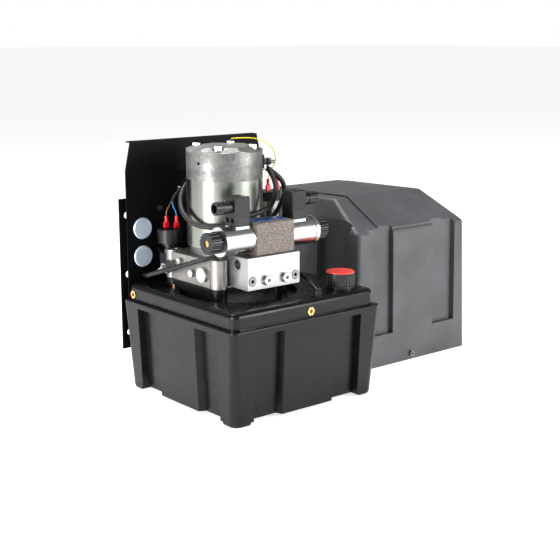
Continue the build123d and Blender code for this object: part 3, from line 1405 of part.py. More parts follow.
def cover_block(inset):
    """Solid of the cover's outside, or of its inside for a positive inset."""
    with BuildPart() as block:
        with BuildSketch(Plane.YZ.offset(COVER_X - COVER_LENGTH)):
            with BuildLine():
                Polyline(*cover_side_outline(inset), close=True)
            make_face()
        extrude(amount=2 * COVER_LENGTH)
        with BuildSketch(Plane.XZ.offset(-TOTAL_DEPTH)):
            with BuildLine():
                Polyline(*cover_front_outline(inset), close=True)
            make_face()
        extrude(amount=2 * TOTAL_DEPTH, mode=Mode.INTERSECT)
    return block.part


RIB_HALF = 50.0
POST = 29.0
COVER_RECESS_FLOOR_Z = 56.0
COVER_PANEL_HALF = 80.0
COVER_PANEL_FRONT_Y = COVER_FRONT_Y + COVER_FACE_LEAN + 4.0


def leaning_plane(x, y, out_x, out_y, run):
    """Plane on a cover wall's foot, facing (out_x, out_y) and leaning back by run at the shoulder."""
    rise = math.hypot(run, COVER_SHOULDER_Z)
    level = COVER_SHOULDER_Z / rise
    return Plane(
        origin=(x, y, 0), x_dir=(-out_y, out_x, 0), z_dir=(out_x * level, out_y * level, run / rise)
    )


def cover_recesses(grow):
    """Upright recesses in the front and side walls, open upwards through the sloped roof."""
    front_reach = COVER_LENGTH / 2 - POST - COVER_DRAFT / 2
    side_middle = COVER_FRONT_Y + COVER_DEPTH / 2
    side_reach = COVER_DEPTH / 2 - POST
    walls = [
        (leaning_plane(COVER_X, COVER_FRONT_Y, 0, -1, COVER_FACE_LEAN), RIB_HALF, front_reach),
        (leaning_plane(COVER_X - COVER_LENGTH / 2, side_middle, -1, 0, COVER_DRAFT), 36.0, side_reach),
        (leaning_plane(COVER_X + COVER_LENGTH / 2, side_middle, 1, 0, COVER_DRAFT), 36.0, side_reach),
    ]
    with BuildPart() as tool:
        for wall, near, far in walls:
            for outward in (30.0, -(COVER_RECESS + grow)):
                with BuildSketch(wall):
                    for side in SIDES:
                        with Locations((side * (near + far) / 2, COVER_RECESS_FLOOR_Z - grow)):
                            Rectangle(far - near + 2 * grow, COVER_HEIGHT, align=(Align.CENTER, Align.MIN))
                extrude(amount=outward)
    return tool.part


def cover_panel(rise):
    """Raised middle strip of the sloped roof and the top."""
    with BuildPart() as panel:
        add(cover_block(-rise))
        with Locations((COVER_X, COVER_PANEL_FRONT_Y, COVER_SHOULDER_Z)):
            Box(
                2 * COVER_PANEL_HALF,
                COVER_BACK_Y - COVER_PANEL_FRONT_Y,
                COVER_HEIGHT,
                align=(Align.CENTER, Align.MIN, Align.MIN),
                mode=Mode.INTERSECT,
            )
    return panel.part


def cover():
    """Moulded cover: front and sides with recesses between ribs, open below and behind."""
    with BuildPart() as cavity:
        add(cover_block(COVER_WALL))
        add(cover_recesses(COVER_WALL), mode=Mode.SUBTRACT)
    with BuildPart() as hood:
        add(cover_block(0))
        outer = hood.edges().filter_by(lambda edge: edge.center().Z > 5)
        fillet(outer.filter_by(lambda edge: edge.center().Y < COVER_BACK_Y - 1), COVER_EDGE)
        add(cover_panel(COVER_PANEL_RISE))
        add(cover_recesses(0), mode=Mode.SUBTRACT)
        add(cavity.part, mode=Mode.SUBTRACT)
        with Locations(cover_screw_plane()):
            Hole(SCREW_M6 + 0.4, depth=20)
    hood.part.label = "cover"
    export_step(hood.part, "parts/cover.step")


def cover_screw_plane():
    """Plane on the leaning front face at the cover's screw."""
    face = leaning_plane(COVER_SCREW_X, COVER_FRONT_Y, 0, -1, COVER_FACE_LEAN)
    return Plane(origin=face.from_local_coords((0, COVER_SCREW_Z, 0)), x_dir=face.x_dir, z_dir=face.z_dir)


def cover_screw():
    """Captive screw with its washer in the cover's lower edge."""
    place = cover_screw_plane()
    with BuildPart() as screw:
        with BuildSketch(place):
            Circle(6)
        extrude(amount=1.2)
        with BuildSketch(place.offset(1.2)):
            Circle(5)
        extrude(amount=3.2)
        with BuildSketch(place):
            Circle(SCREW_M6)
        extrude(amount=-14)
        with BuildSketch(place.offset(4.4)):
            RegularPolygon(2.3, 6)
        extrude(amount=-2.4, mode=Mode.SUBTRACT)
    screw.part.label = "cover_screw"
    export_step(screw.part, "parts/cover_screw.step")


# Routes of the leads as x, y, z points; each tube is its straight runs joined by large arcs.
FEED_LEAD_DIAMETER = 8.0
FEED_LEAD = [
    (-128.42, -60.808, 355.658),
    (-114.9, -68.8, 345.0),
    (-105.1, -67.1, 324.0),
    (-105.2, -58.4, 302.0),
    (-111.225, -45.573, 281.428),
]
GROUND_LEAD_DIAMETER = 8.0
GROUND_LEAD = [
    (-136.795, -69.802, 354.179),
    (-131.4, -74.9, 340.0),
    (-135.3, -78.8, 320.0),
    (-147.4, -83.8, 306.0),
    (-170.0, -86.6, 297.5),
    (-212.0, -86.6, 293.0),
    (-233.0, -82.0, 280.5),
    (-250.2, -62.7, 278.0),
    (-261.9, -34.3, 281.5),
    (-260.6, -3.6, 294.5),
    (-247.9, 21.7, 311.0),
    (-226.3, 42.5, 328.0),
    (-199.0, 57.5, 338.0),
    (-180.757, 85.53, 345.22),
]
CONTROL_CABLE_DIAMETER = 7.0
CONTROL_CABLE = [
    (-112.783, -35.684, 246.0),
    (-122.517, -49.585, 246.0),
    (-130.0, -69.0, 240.0),
    (-160.0, -86.0, 238.2),
    (-206.0, -85.0, 238.0),
    (-234.0, -86.0, 240.0),
    (-258.0, -85.0, 238.9),
    (-277.0, -68.0, 231.5),
    (-286.0, -40.0, 221.6),
    (-292.5, -10.0, 211.3),
    (-297.0, 20.0, 201.3),
    (-294.0, 50.0, 192.0),
    (-271.0, 77.0, 183.5),
    (-269.5, 104.0, 182.0),
]
SHEATH_DIAMETER = 6.0
SWITCH_SHEATH = [
    (-198.5, 103.0, 317.5),
    (-200.0, 84.0, 318.5),
    (-213.0, 69.0, 320.0),
    (-229.0, 61.0, 315.5),
    (-238.0, 58.0, 304.5),
]
WIRE_DIAMETER = 1.8
BROWN_WIRE = [
    (-238.6, 59.1, 304.2),
    (-243.0, 58.5, 298.5),
    (-247.8, 59.5, 291.0),
    (-248.6, 59.7, 282.3),
]
BLUE_WIRE = [
    (-237.9, 56.8, 304.2),
    (-239.3, 55.0, 298.0),
    (-236.2, 50.5, 290.5),
    (-235.6, 49.7, 282.3),
]
YELLOW_WIRE = [
    (-160.03, 1.97, 403.58),
    (-167.5, -8.5, 406.0),
    (-162.0, -24.0, 407.5),
    (-145.0, -34.0, 407.5),
    (-124.0, -39.0, 402.0),
    (-107.0, -42.0, 387.0),
    (-101.5, -40.0, 368.0),
    (-107.0, -31.0, 352.0),
    (-109.0, -28.0, 339.3),
]
RED_WIRE = [
    (-87.0, -24.0, 339.3),
    (-87.5, -21.0, 349.5),
    (-96.0, -10.0, 354.0),
    (-110.0, 6.0, 346.0),
    (-124.0, 26.0, 334.0),
    (-142.0, 46.0, 325.0),
    (-164.0, 66.0, 320.5),
    (-181.0, 82.0, 318.5),
    (-184.0, 100.0, 318.0),
]
DRAIN_HOSE_DIAMETER = 8.0
DRAIN_HOSE = [
    (-123.35, -120.25, 200.55),
    (-119.3, -137.2, 196.5),
    (-116.962, -151.83, 186.012),
]


def bend_radii(points):
    """Largest tangent arc at each corner: 0.45 of the shorter run over the tangent of half the turn."""
    radii = []
    for before, corner, after in zip(points, points[1:], points[2:]):
        arriving = Vector(*corner) - Vector(*before)
        leaving = Vector(*after) - Vector(*corner)
        half_turn = math.radians(arriving.get_angle(leaving)) / 2
        radii.append(0.45 * min(arriving.length, leaving.length) / math.tan(half_turn))
    return radii


def lead(name, points, diameter):
    """One tube along its route; prints its bend radii, its length and its volume over section times length."""
    radii = bend_radii(points)
    with BuildPart() as tube:
        with BuildLine() as route:
            FilletPolyline(*points, radius=radii)
        with BuildSketch(Plane(origin=route.wire() @ 0, z_dir=route.wire() % 0)):
            Circle(diameter / 2)
        sweep()
    expected = math.pi * diameter**2 / 4 * route.wire().length
    print(name, "radii", [round(radius, 1) for radius in radii])
    length = round(route.wire().length, 1)
    print(name, "length", length, "volume ratio", round(tube.part.volume / expected, 4))
    return tube.part


def terminal_insulators():
    """Moulded pads under the terminal studs: one on the motor, two on the contactor."""
    pad = radial_plane(STUD_ANGLE, MOTOR_RADIUS - 12, STUD_Z)
    with BuildPart() as insulators:
        with Locations(pad.offset(10)):
            Box(20, 20, 4, align=(Align.CENTER, Align.CENTER, Align.MIN))
        upright(CAN_TOP_Z - 1, 60, MOTOR_RADIUS, mode=Mode.SUBTRACT)
        with Locations(pad):
            Cylinder(6, 13, align=(Align.CENTER, Align.CENTER, Align.MIN))
            Cylinder(STUD_RADIUS, 15, align=(Align.CENTER, Align.CENTER, Align.MIN), mode=Mode.SUBTRACT)
        for angle in MAIN_ANGLES:
            with Locations(contactor_plane(angle, CONTACTOR_RADIUS - 4, MAIN_TERMINAL_Z)):
                Box(14, 15, 12, align=(Align.CENTER, Align.CENTER, Align.MIN))
        upright(240, 40, CONTACTOR_RADIUS, x=CONTACTOR_X, y=CONTACTOR_Y, mode=Mode.SUBTRACT)
        for angle in MAIN_ANGLES:
            with Locations(contactor_plane(angle, CONTACTOR_RADIUS, MAIN_TERMINAL_Z)):
                Cylinder(STUD_RADIUS, 10, align=(Align.CENTER, Align.CENTER, Align.MIN), mode=Mode.SUBTRACT)
    insulators.part.label = "terminal_insulators"
    export_step(insulators.part, "parts/terminal_insulators.step")


def terminal_studs():
    """Studs of the motor, the contactor's two main terminals and the plate's ground point, with nuts."""
    motor = radial_plane(STUD_ANGLE, MOTOR_RADIUS - 12, STUD_Z)
    mains = [contactor_plane(angle, CONTACTOR_RADIUS, MAIN_TERMINAL_Z) for angle in MAIN_ANGLES]
    ground = Plane(origin=(GROUND_X, PLATE_BACK_Y, GROUND_Z), x_dir=(1, 0, 0), z_dir=(0, -1, 0))
    studs = [(motor, 31, (14, 21.3))] + [(place, 17, (9.6,)) for place in mains] + [(ground, 15, (3.5,))]
    with BuildPart() as group:
        for place, length, nuts in studs:
            with Locations(place):
                Cylinder(STUD_RADIUS, length, align=(Align.CENTER, Align.CENTER, Align.MIN))
            for start in nuts:
                with BuildSketch(place.offset(start)):
                    RegularPolygon(5.8, 6)
                extrude(amount=4.0)
        with Locations(ground):
            Cylinder(6, 1.5, align=(Align.CENTER, Align.CENTER, Align.MAX))
    group.part.label = "terminal_studs"
    export_step(group.part, "parts/terminal_studs.step")


LUG_RADIUS = 6.2
LUG_THICK = 1.4
LUG_REACH = 12.0
BARREL_RADIUS = 4.3
BARREL_LENGTH = 9.0


def ring_lug(ring, tongue_angle, barrel):
    """Ring terminal on a stud: ring, tongue at an angle in the ring's plane, crimp barrel."""
    tip = ring * Location((0, 0, 0), (0, 0, tongue_angle))
    root = tip * Location((LUG_REACH, 0, LUG_THICK / 2))
    with Locations(tip):
        Box(LUG_REACH, 6.5, LUG_THICK, align=(Align.MIN, Align.CENTER, Align.MIN))
    with Locations(ring):
        Cylinder(LUG_RADIUS, LUG_THICK, align=(Align.CENTER, Align.CENTER, Align.MIN))
        Cylinder(STUD_RADIUS, LUG_THICK, align=(Align.CENTER, Align.CENTER, Align.MIN), mode=Mode.SUBTRACT)
    with Locations(Plane(origin=root.position, z_dir=barrel)):
        Cylinder(BARREL_RADIUS, BARREL_LENGTH, align=(Align.CENTER, Align.CENTER, Align.MIN))


def lead_lugs():
    """Ring terminals at both ends of the two heavy leads, and the small one on a motor bolt."""
    ground = Plane(origin=(GROUND_X, PLATE_FRONT_Y, GROUND_Z), x_dir=(1, 0, 0), z_dir=(0, -1, 0))
    wire_bolt = motor_bolt_places(BOLT_SEAT_Z + BOLT_FLANGE + BOLT_HEAD)[0]
    with BuildPart() as lugs:
        ring_lug(radial_plane(STUD_ANGLE, MOTOR_RADIUS + 6.2, STUD_Z), -70, FEED_BARREL)
        ring_lug(radial_plane(STUD_ANGLE, MOTOR_RADIUS + 7.8, STUD_Z), -125, GROUND_BARREL)
        ring_lug(contactor_plane(MAIN_ANGLES[0], CONTACTOR_RADIUS + 8.1, MAIN_TERMINAL_Z), 90, MAIN_BARREL)
        ring_lug(ground, -156, PLATE_BARREL)
        with Locations(wire_bolt):
            Cylinder(4.5, 0.8, align=(Align.CENTER, Align.CENTER, Align.MIN))
        with Locations(ground):
            Box(80, 80, 6, align=(Align.CENTER, Align.CENTER, Align.MAX), mode=Mode.SUBTRACT)
        wire_root = Vector(*wire_bolt) + Vector(0, 0, 1.4)
        with Locations(Plane(origin=wire_root, z_dir=WIRE_BARREL)):
            Cylinder(1.5, 7, align=(Align.CENTER, Align.CENTER, Align.MIN))
    lugs.part.label = "lead_lugs"
    export_step(lugs.part, "parts/lead_lugs.step")


def save_leads(label, leads):
    with BuildPart() as group:
        for piece in leads:
            add(piece)
    group.part.label = label
    export_step(group.part, f"parts/{label}.step")


def power_leads():
    save_leads(
        "power_leads",
        [
            lead("feed_lead", FEED_LEAD, FEED_LEAD_DIAMETER),
            lead("ground_lead", GROUND_LEAD, GROUND_LEAD_DIAMETER),
        ],
    )


def control_cables():
    save_leads(
        "control_cables",
        [
            lead("control_cable", CONTROL_CABLE, CONTROL_CABLE_DIAMETER),
            lead("switch_sheath", SWITCH_SHEATH, SHEATH_DIAMETER),
        ],
    )


def signal_wires():
    save_leads(
        "signal_wires",
        [
            lead("brown_wire", BROWN_WIRE, WIRE_DIAMETER),
            lead("blue_wire", BLUE_WIRE, WIRE_DIAMETER),
            lead("yellow_wire", YELLOW_WIRE, WIRE_DIAMETER),
            lead("red_wire", RED_WIRE, WIRE_DIAMETER),
        ],
    )


def drain_hose():
    save_leads("drain_hose", [lead("drain_hose", DRAIN_HOSE, DRAIN_HOSE_DIAMETER)])


DRAIN_JOINT = (-125.8, -110.0, 203.0)
DRAIN_OUTLET = (0.2264, -0.9474, -0.2264)
RETURN_JOINT = (-115.8, -159.1, 180.8)
RETURN_INLET = (-0.1288, 0.8060, 0.5778)


def drain_fittings():
    """Elbow fittings at both ends of the drain hose: one in the block, one in the tank's top."""
    with BuildPart() as fittings:
        with Locations(DRAIN_PLACE):
            Cylinder(3, DRAIN_SHANK, align=(Align.CENTER, Align.CENTER, Align.MAX))
            Cylinder(5, DRAIN_JOINT[0] - DRAIN_PLACE.origin.X, align=(Align.CENTER, Align.CENTER, Align.MIN))
        with BuildSketch(DRAIN_PLACE):
            RegularPolygon(7, 6)
        extrude(amount=6)
        with BuildSketch(Plane(origin=(RETURN_JOINT[0], RETURN_JOINT[1], TANK_TOP_Z))):
            RegularPolygon(6.5, 6)
        extrude(amount=4)
        upright(TANK_TOP_Z, RETURN_JOINT[2] - TANK_TOP_Z, 5, x=RETURN_JOINT[0], y=RETURN_JOINT[1])
        for joint, outlet, length in ((DRAIN_JOINT, DRAIN_OUTLET, 10.8), (RETURN_JOINT, RETURN_INLET, 9)):
            with Locations(joint):
                Sphere(5)
            with Locations(Plane(origin=joint, z_dir=outlet)):
                Cylinder(5, length, align=(Align.CENTER, Align.CENTER, Align.MIN))
    fittings.part.label = "drain_fittings"
    export_step(fittings.part, "parts/drain_fittings.step")


tank_shell()
tank_inserts()
filler_neck()
filler_seal()
filler_cap()
manifold_gasket()
manifold_body()
relief_valve()
valve_block()
socket_screws()
port_plugs()
valve_body()
valve_label()
valve_spool()
centring_springs()
core_tubes()
solenoid_armatures()
override_pins()
solenoid_coils()
coil_nuts()
din_plugs()
plug_glands()
motor_flange()
motor_can()
motor_magnets()
motor_rotor()
motor_shaft()
motor_bearings()
brush_holder()
motor_brushes()
motor_end_cap()
motor_bolts()
drive_gear()
driven_gear()
pump_body()
pump_cover()
tank_pipes()
contactor_bracket()
contactor_body()
contactor_plunger()
contactor_cap()
pressure_switch()
spade_connectors()
backplate()
mounting_rails()
plate_screws()
blanking_plugs()
cover()
cover_screw()
terminal_insulators()
terminal_studs()
lead_lugs()
power_leads()
control_cables()
signal_wires()
drain_hose()
drain_fittings()
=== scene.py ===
import json
import math

import bmesh
import bpy
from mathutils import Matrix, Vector


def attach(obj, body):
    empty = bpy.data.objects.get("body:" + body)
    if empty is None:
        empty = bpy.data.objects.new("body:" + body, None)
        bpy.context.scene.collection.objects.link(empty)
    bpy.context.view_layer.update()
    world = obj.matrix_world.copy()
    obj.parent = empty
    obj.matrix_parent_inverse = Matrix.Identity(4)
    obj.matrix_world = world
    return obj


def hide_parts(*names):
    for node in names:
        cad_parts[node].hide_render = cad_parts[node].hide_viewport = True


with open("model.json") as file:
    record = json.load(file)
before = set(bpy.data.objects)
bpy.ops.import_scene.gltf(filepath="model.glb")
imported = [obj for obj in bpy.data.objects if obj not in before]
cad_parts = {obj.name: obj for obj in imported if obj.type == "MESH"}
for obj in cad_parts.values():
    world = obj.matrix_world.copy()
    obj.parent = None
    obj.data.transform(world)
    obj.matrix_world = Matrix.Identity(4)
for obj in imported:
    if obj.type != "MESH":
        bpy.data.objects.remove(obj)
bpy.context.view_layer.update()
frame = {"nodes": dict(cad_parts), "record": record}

nodes = frame["nodes"]


# ---------------------------------------------------------------- materials

class Shader:
    """One procedural material being built: object coordinates in, one Principled BSDF out."""

    def __init__(self, name, roughness, metallic=0.0, specular=0.5, coat=0.0):
        self.material = bpy.data.materials.new(name)
        self.material.use_nodes = True
        self.tree = self.material.node_tree
        self.bsdf = self.tree.nodes["Principled BSDF"]
        self.bsdf.inputs["Roughness"].default_value = roughness
        self.bsdf.inputs["Metallic"].default_value = metallic
        self.bsdf.inputs["Specular IOR Level"].default_value = specular
        self.bsdf.inputs["Coat Weight"].default_value = coat
        self.coordinates = self.tree.nodes.new("ShaderNodeTexCoord").outputs["Object"]

    def link(self, source, target):
        self.tree.links.new(source, target)

    def noise(self, scale, detail=3.0, stretch=(1.0, 1.0, 1.0), roughness=0.55):
        """Noise in object space, with its coordinates stretched first where a grain has a direction."""
        mapping = self.tree.nodes.new("ShaderNodeMapping")
        mapping.inputs["Scale"].default_value = stretch
        texture = self.tree.nodes.new("ShaderNodeTexNoise")
        texture.inputs["Scale"].default_value = scale
        texture.inputs["Detail"].default_value = detail
        texture.inputs["Roughness"].default_value = roughness
        self.link(self.coordinates, mapping.inputs["Vector"])
        self.link(mapping.outputs["Vector"], texture.inputs["Vector"])
        return texture.outputs["Fac"]

    def ramp(self, value, stops):
        """Colours along a 0 to 1 value: stops are (place, colour)."""
        ramp = self.tree.nodes.new("ShaderNodeValToRGB")
        elements = ramp.color_ramp.elements
        while len(elements) < len(stops):
            elements.new(0.5)
        for element, (place, colour) in zip(elements, stops):
            element.position = place
            element.color = (*colour, 1.0)
        self.link(value, ramp.inputs["Fac"])
        return ramp.outputs["Color"]

    def colour(self, output):
        self.link(output, self.bsdf.inputs["Base Color"])

    def mix(self, value, first, second, blend="MIX"):
        mix = self.tree.nodes.new("ShaderNodeMix")
        mix.data_type = "RGBA"
        mix.blend_type = blend
        for source, socket in ((value, mix.inputs[0]), (first, mix.inputs[6]), (second, mix.inputs[7])):
            if isinstance(source, (int, float)):
                socket.default_value = source
            elif isinstance(source, tuple):
                socket.default_value = (*source, 1.0)
            else:
                self.link(source, socket)
        return mix.outputs[2]

    def gloss(self, value, low, high):
        """Roughness between two values as a noise runs from its usual low to its usual high."""
        spread = self.tree.nodes.new("ShaderNodeMapRange")
        spread.inputs["From Min"].default_value = 0.3
        spread.inputs["From Max"].default_value = 0.7
        spread.inputs["To Min"].default_value = low
        spread.inputs["To Max"].default_value = high
        self.link(value, spread.inputs["Value"])
        self.link(spread.outputs["Result"], self.bsdf.inputs["Roughness"])

    def bump(self, value, height, strength=1.0):
        """Relief of a height in metres."""
        bump = self.tree.nodes.new("ShaderNodeBump")
        bump.inputs["Distance"].default_value = height
        bump.inputs["Strength"].default_value = strength
        self.link(value, bump.inputs["Height"])
        previous = self.bsdf.inputs["Normal"].links
        if previous:
            self.link(previous[0].from_socket, bump.inputs["Normal"])
        self.link(bump.outputs["Normal"], self.bsdf.inputs["Normal"])


def grey(level):
    return (level, level, level)


def shade(colour, factor):
    return tuple(channel * factor for channel in colour)


def moulded_plastic(
    name, colour, low=0.38, high=0.55, grain=900.0, relief=0.00008, specular=0.34
):
    """Moulded plastic: cloudy tone, satin gloss that varies, fine orange-peel grain."""
    shader = Shader(name, low, specular=specular)
    cloud = shader.noise(14.0, 4.0)
    shader.colour(shader.ramp(cloud, [(0.3, shade(colour, 0.8)), (0.7, shade(colour, 1.25))]))
    shader.gloss(shader.noise(40.0, 5.0), low, high)
    shader.bump(shader.noise(grain, 2.0), relief, 0.35)
    return shader.material


def brushed_metal(name, colour, stretch, low=0.22, high=0.36, tint=None, streak=160.0):
    """Plated or milled metal with fine streaks along one direction and a slow change of tint."""
    shader = Shader(name, low, metallic=1.0)
    tone = shader.noise(streak, 4.0, stretch)
    slow = shader.noise(9.0, 2.0)
    streaks = shader.ramp(tone, [(0.3, shade(colour, 0.86)), (0.7, shade(colour, 1.06))])
    other = tint or shade(colour, 0.9)
    tinted = shader.ramp(tone, [(0.3, shade(other, 0.88)), (0.7, other)])
    shader.colour(shader.mix(slow, streaks, tinted))
    shader.gloss(shader.noise(60.0, 3.0, stretch), low, high)
    shader.bump(tone, 0.00003, 0.25)
    return shader.material


def cast_metal(name, colour, blotch=0.72, low=0.36, high=0.6):
    """Cast surface: dark blotches, pits and a rough skin."""
    shader = Shader(name, low, metallic=0.85)
    cloud = shader.noise(26.0, 6.0, roughness=0.7)
    blotches = shader.ramp(cloud, [(0.36, shade(colour, blotch)), (0.58, colour)])
    speck = shader.ramp(shader.noise(320.0, 3.0), [(0.3, grey(0.72)), (0.6, grey(1.0))])
    shader.colour(shader.mix(1.0, blotches, speck, "MULTIPLY"))
    shader.gloss(shader.noise(90.0, 4.0), low, high)
    shader.bump(shader.noise(420.0, 4.0), 0.00016, 0.5)
    return shader.material


def speckled_iron(name):
    """Phosphated iron: brown-grey with dark and light grains."""
    shader = Shader(name, 0.55, metallic=0.35)
    fine = shader.noise(700.0, 2.0)
    dark, brown, light = (0.05, 0.04, 0.035), (0.15, 0.122, 0.105), (0.32, 0.275, 0.25)
    grains = shader.ramp(fine, [(0.36, dark), (0.5, brown), (0.64, light)])
    cloud = shader.ramp(shader.noise(30.0, 3.0), [(0.3, grey(0.85)), (0.7, grey(1.0))])
    shader.colour(shader.mix(1.0, grains, cloud, "MULTIPLY"))
    shader.gloss(fine, 0.45, 0.65)
    shader.bump(fine, 0.00012, 0.6)
    return shader.material


def rubber(name, colour=(0.008, 0.008, 0.0085)):
    """Cable sheath or seal: dusty black with a soft sheen."""
    shader = Shader(name, 0.5, specular=0.4)
    dust = shader.noise(120.0, 4.0)
    shader.colour(shader.ramp(dust, [(0.35, colour), (0.75, shade(colour, 2.2))]))
    shader.gloss(dust, 0.42, 0.62)
    shader.bump(shader.noise(1500.0, 2.0), 0.00004, 0.4)
    return shader.material


def glossy_plastic(name, colour, low=0.22, high=0.32, coat=0.15):
    """Coloured shiny plastic with faint clouding and moulding ripples."""
    shader = Shader(name, low, coat=coat)
    cloud = shader.noise(60.0, 3.0)
    shader.colour(shader.ramp(cloud, [(0.3, shade(colour, 0.9)), (0.7, shade(colour, 1.08))]))
    shader.gloss(shader.noise(150.0, 3.0), low, high)
    shader.bump(shader.noise(500.0, 1.0), 0.00004, 0.3)
    return shader.material


def powder_coat(name, colour):
    """Powder-coated steel: fine even pebble under a satin skin."""
    shader = Shader(name, 0.5, specular=0.06)
    cloud = shader.noise(20.0, 3.0)
    shader.colour(shader.ramp(cloud, [(0.3, shade(colour, 0.88)), (0.7, shade(colour, 1.12))]))
    shader.gloss(shader.noise(70.0, 3.0), 0.4, 0.55)
    shader.bump(shader.noise(1300.0, 1.0), 0.00006, 0.5)
    return shader.material


ALONG_Z = (1.0, 1.0, 0.02)
ALONG_X = (0.03, 1.0, 1.0)
ALL_WAYS = (1.0, 1.0, 1.0)

MATERIALS = {
    "tank_plastic": moulded_plastic("tank_plastic", (0.0048, 0.005, 0.0054), 0.2, 0.34, specular=0.23),
    "cover_plastic": moulded_plastic("cover_plastic", (0.068, 0.071, 0.075), 0.36, 0.5),
    "zinc_can": brushed_metal(
        "zinc_can", (0.29, 0.30, 0.285), ALONG_Z, 0.2, 0.32, (0.265, 0.285, 0.24), 420.0
    ),
    "zinc_steel": brushed_metal(
        "zinc_steel", (0.52, 0.54, 0.53), ALL_WAYS, 0.2, 0.34, (0.46, 0.50, 0.44), 90.0
    ),
    "zinc_coil": brushed_metal(
        "zinc_coil", (0.56, 0.57, 0.56), ALONG_X, 0.2, 0.32, (0.50, 0.52, 0.50), 300.0
    ),
    "machined_aluminium": brushed_metal(
        "machined_aluminium", (0.43, 0.43, 0.44), ALONG_X, 0.28, 0.4, streak=500.0
    ),
    "manifold_aluminium": brushed_metal(
        "manifold_aluminium", (0.36, 0.35, 0.335), ALL_WAYS, 0.3, 0.42, (0.28, 0.265, 0.25), 70.0
    ),
    "cast_aluminium": cast_metal("cast_aluminium", (0.25, 0.247, 0.24), 0.5),
    "cast_iron": speckled_iron("cast_iron"),
    "bright_steel": brushed_metal(
        "bright_steel", (0.70, 0.71, 0.70), ALL_WAYS, 0.2, 0.32, streak=200.0
    ),
    "dark_steel": brushed_metal("dark_steel", (0.24, 0.25, 0.25), ALL_WAYS, 0.25, 0.4, streak=120.0),
    "brass": brushed_metal("brass", (0.80, 0.55, 0.24), ALL_WAYS, 0.2, 0.34, (0.70, 0.44, 0.17), 150.0),
    "black_plastic": moulded_plastic(
        "black_plastic", (0.009, 0.009, 0.010), 0.28, 0.42, 1400.0, 0.00005
    ),
    "filler_plastic": moulded_plastic(
        "filler_plastic", (0.012, 0.012, 0.013), 0.16, 0.26, 600.0, 0.00003
    ),
    "black_rubber": rubber("black_rubber"),
    "nitrile": rubber("nitrile", (0.014, 0.014, 0.014)),
    "plate_steel": powder_coat("plate_steel", (0.004, 0.0045, 0.005)),
    "rail_steel": brushed_metal(
        "rail_steel", (0.60, 0.61, 0.58), ALONG_Z, 0.28, 0.42, (0.55, 0.58, 0.5), 150.0
    ),
    "blue_label": glossy_plastic("blue_label", (0.0, 0.065, 0.27), 0.22, 0.34),
    "red_disc": glossy_plastic("red_disc", (0.80, 0.055, 0.030), 0.3, 0.42, 0.05),
    "red_insulation": glossy_plastic("red_insulation", (0.72, 0.008, 0.018)),
    "clear_blue_plastic": glossy_plastic("clear_blue_plastic", (0.52, 0.62, 0.74)),
    "yellow_wire": glossy_plastic("yellow_wire", (0.86, 0.74, 0.02)),
    "brown_wire": glossy_plastic("brown_wire", (0.22, 0.07, 0.03)),
    "blue_wire": glossy_plastic("blue_wire", (0.0, 0.23, 0.62)),
    "red_wire": glossy_plastic("red_wire", (0.42, 0.012, 0.016)),
    "ferrite": moulded_plastic("ferrite", (0.04, 0.04, 0.042), 0.6, 0.75),
    "copper_winding": cast_metal("copper_winding", (0.55, 0.25, 0.12)),
    "carbon": moulded_plastic("carbon", (0.02, 0.02, 0.02), 0.6, 0.8),
}

LOOK_OF_NODE = {
    "motor_can": "zinc_can",
    "manifold_body": "manifold_aluminium",
    "solenoid_coils": "zinc_coil",
    "contactor_body": "zinc_can",
    "socket_screws": "dark_steel",
    "filler_cap": "filler_plastic",
    "mounting_rails": "plate_steel",
}

slot_of = {entry["node"]: entry["material_slot"] for entry in frame["record"]["subparts"]}
slot_of.update(LOOK_OF_NODE)
for name, node in nodes.items():
    look = slot_of[name]
    node.data.materials.clear()
    node.data.materials.append(MATERIALS.get(look, MATERIALS["black_plastic"]))


# ---------------------------------------------------------------- leads, wires and hose

MM = 0.001


def smooth_lead(name, node, look, slot, diameter, points):
    """Round lead as one smooth NURBS curve along its route, standing for its CAD tube."""
    data = bpy.data.curves.new(name, "CURVE")
    data.dimensions = "3D"
    data.bevel_depth = diameter * MM / 2
    data.bevel_resolution = 6
    data.resolution_u = 16
    data.use_fill_caps = True
    spline = data.splines.new("NURBS")
    spline.points.add(len(points) - 1)
    for control, point in zip(spline.points, points):
        control.co = (*(coordinate * MM for coordinate in point), 1.0)
    spline.order_u = 3
    spline.use_endpoint_u = True
    lead = bpy.data.objects.new(name, data)
    bpy.context.scene.collection.objects.link(lead)
    data.materials.append(MATERIALS[look])
    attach(lead, "power_unit")
    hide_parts(node)


# Routes in millimetres, the same points as the CAD tubes.
FEED_LEAD = [
    (-128.42, -60.808, 355.658),
    (-114.9, -68.8, 345.0),
    (-105.1, -67.1, 324.0),
    (-105.2, -58.4, 302.0),
    (-111.225, -45.573, 281.428),
]
GROUND_LEAD = [
    (-136.795, -69.802, 354.179),
    (-131.4, -74.9, 340.0),
    (-135.3, -78.8, 320.0),
    (-147.4, -83.8, 306.0),
    (-170.0, -86.6, 297.5),
    (-212.0, -86.6, 293.0),
    (-233.0, -82.0, 280.5),
    (-250.2, -62.7, 278.0),
    (-261.9, -34.3, 281.5),
    (-260.6, -3.6, 294.5),
    (-247.9, 21.7, 311.0),
    (-226.3, 42.5, 328.0),
    (-199.0, 57.5, 338.0),
    (-180.757, 85.53, 345.22),
]
CONTROL_CABLE = [
    (-112.783, -35.684, 246.0),
    (-122.517, -49.585, 246.0),
    (-130.0, -69.0, 240.0),
    (-160.0, -86.0, 238.2),
    (-206.0, -85.0, 238.0),
    (-234.0, -86.0, 240.0),
    (-258.0, -85.0, 238.9),
    (-277.0, -68.0, 231.5),
    (-286.0, -40.0, 221.6),
    (-292.5, -10.0, 211.3),
    (-297.0, 20.0, 201.3),
    (-294.0, 50.0, 192.0),
    (-271.0, 77.0, 183.5),
    (-269.5, 104.0, 182.0),
]
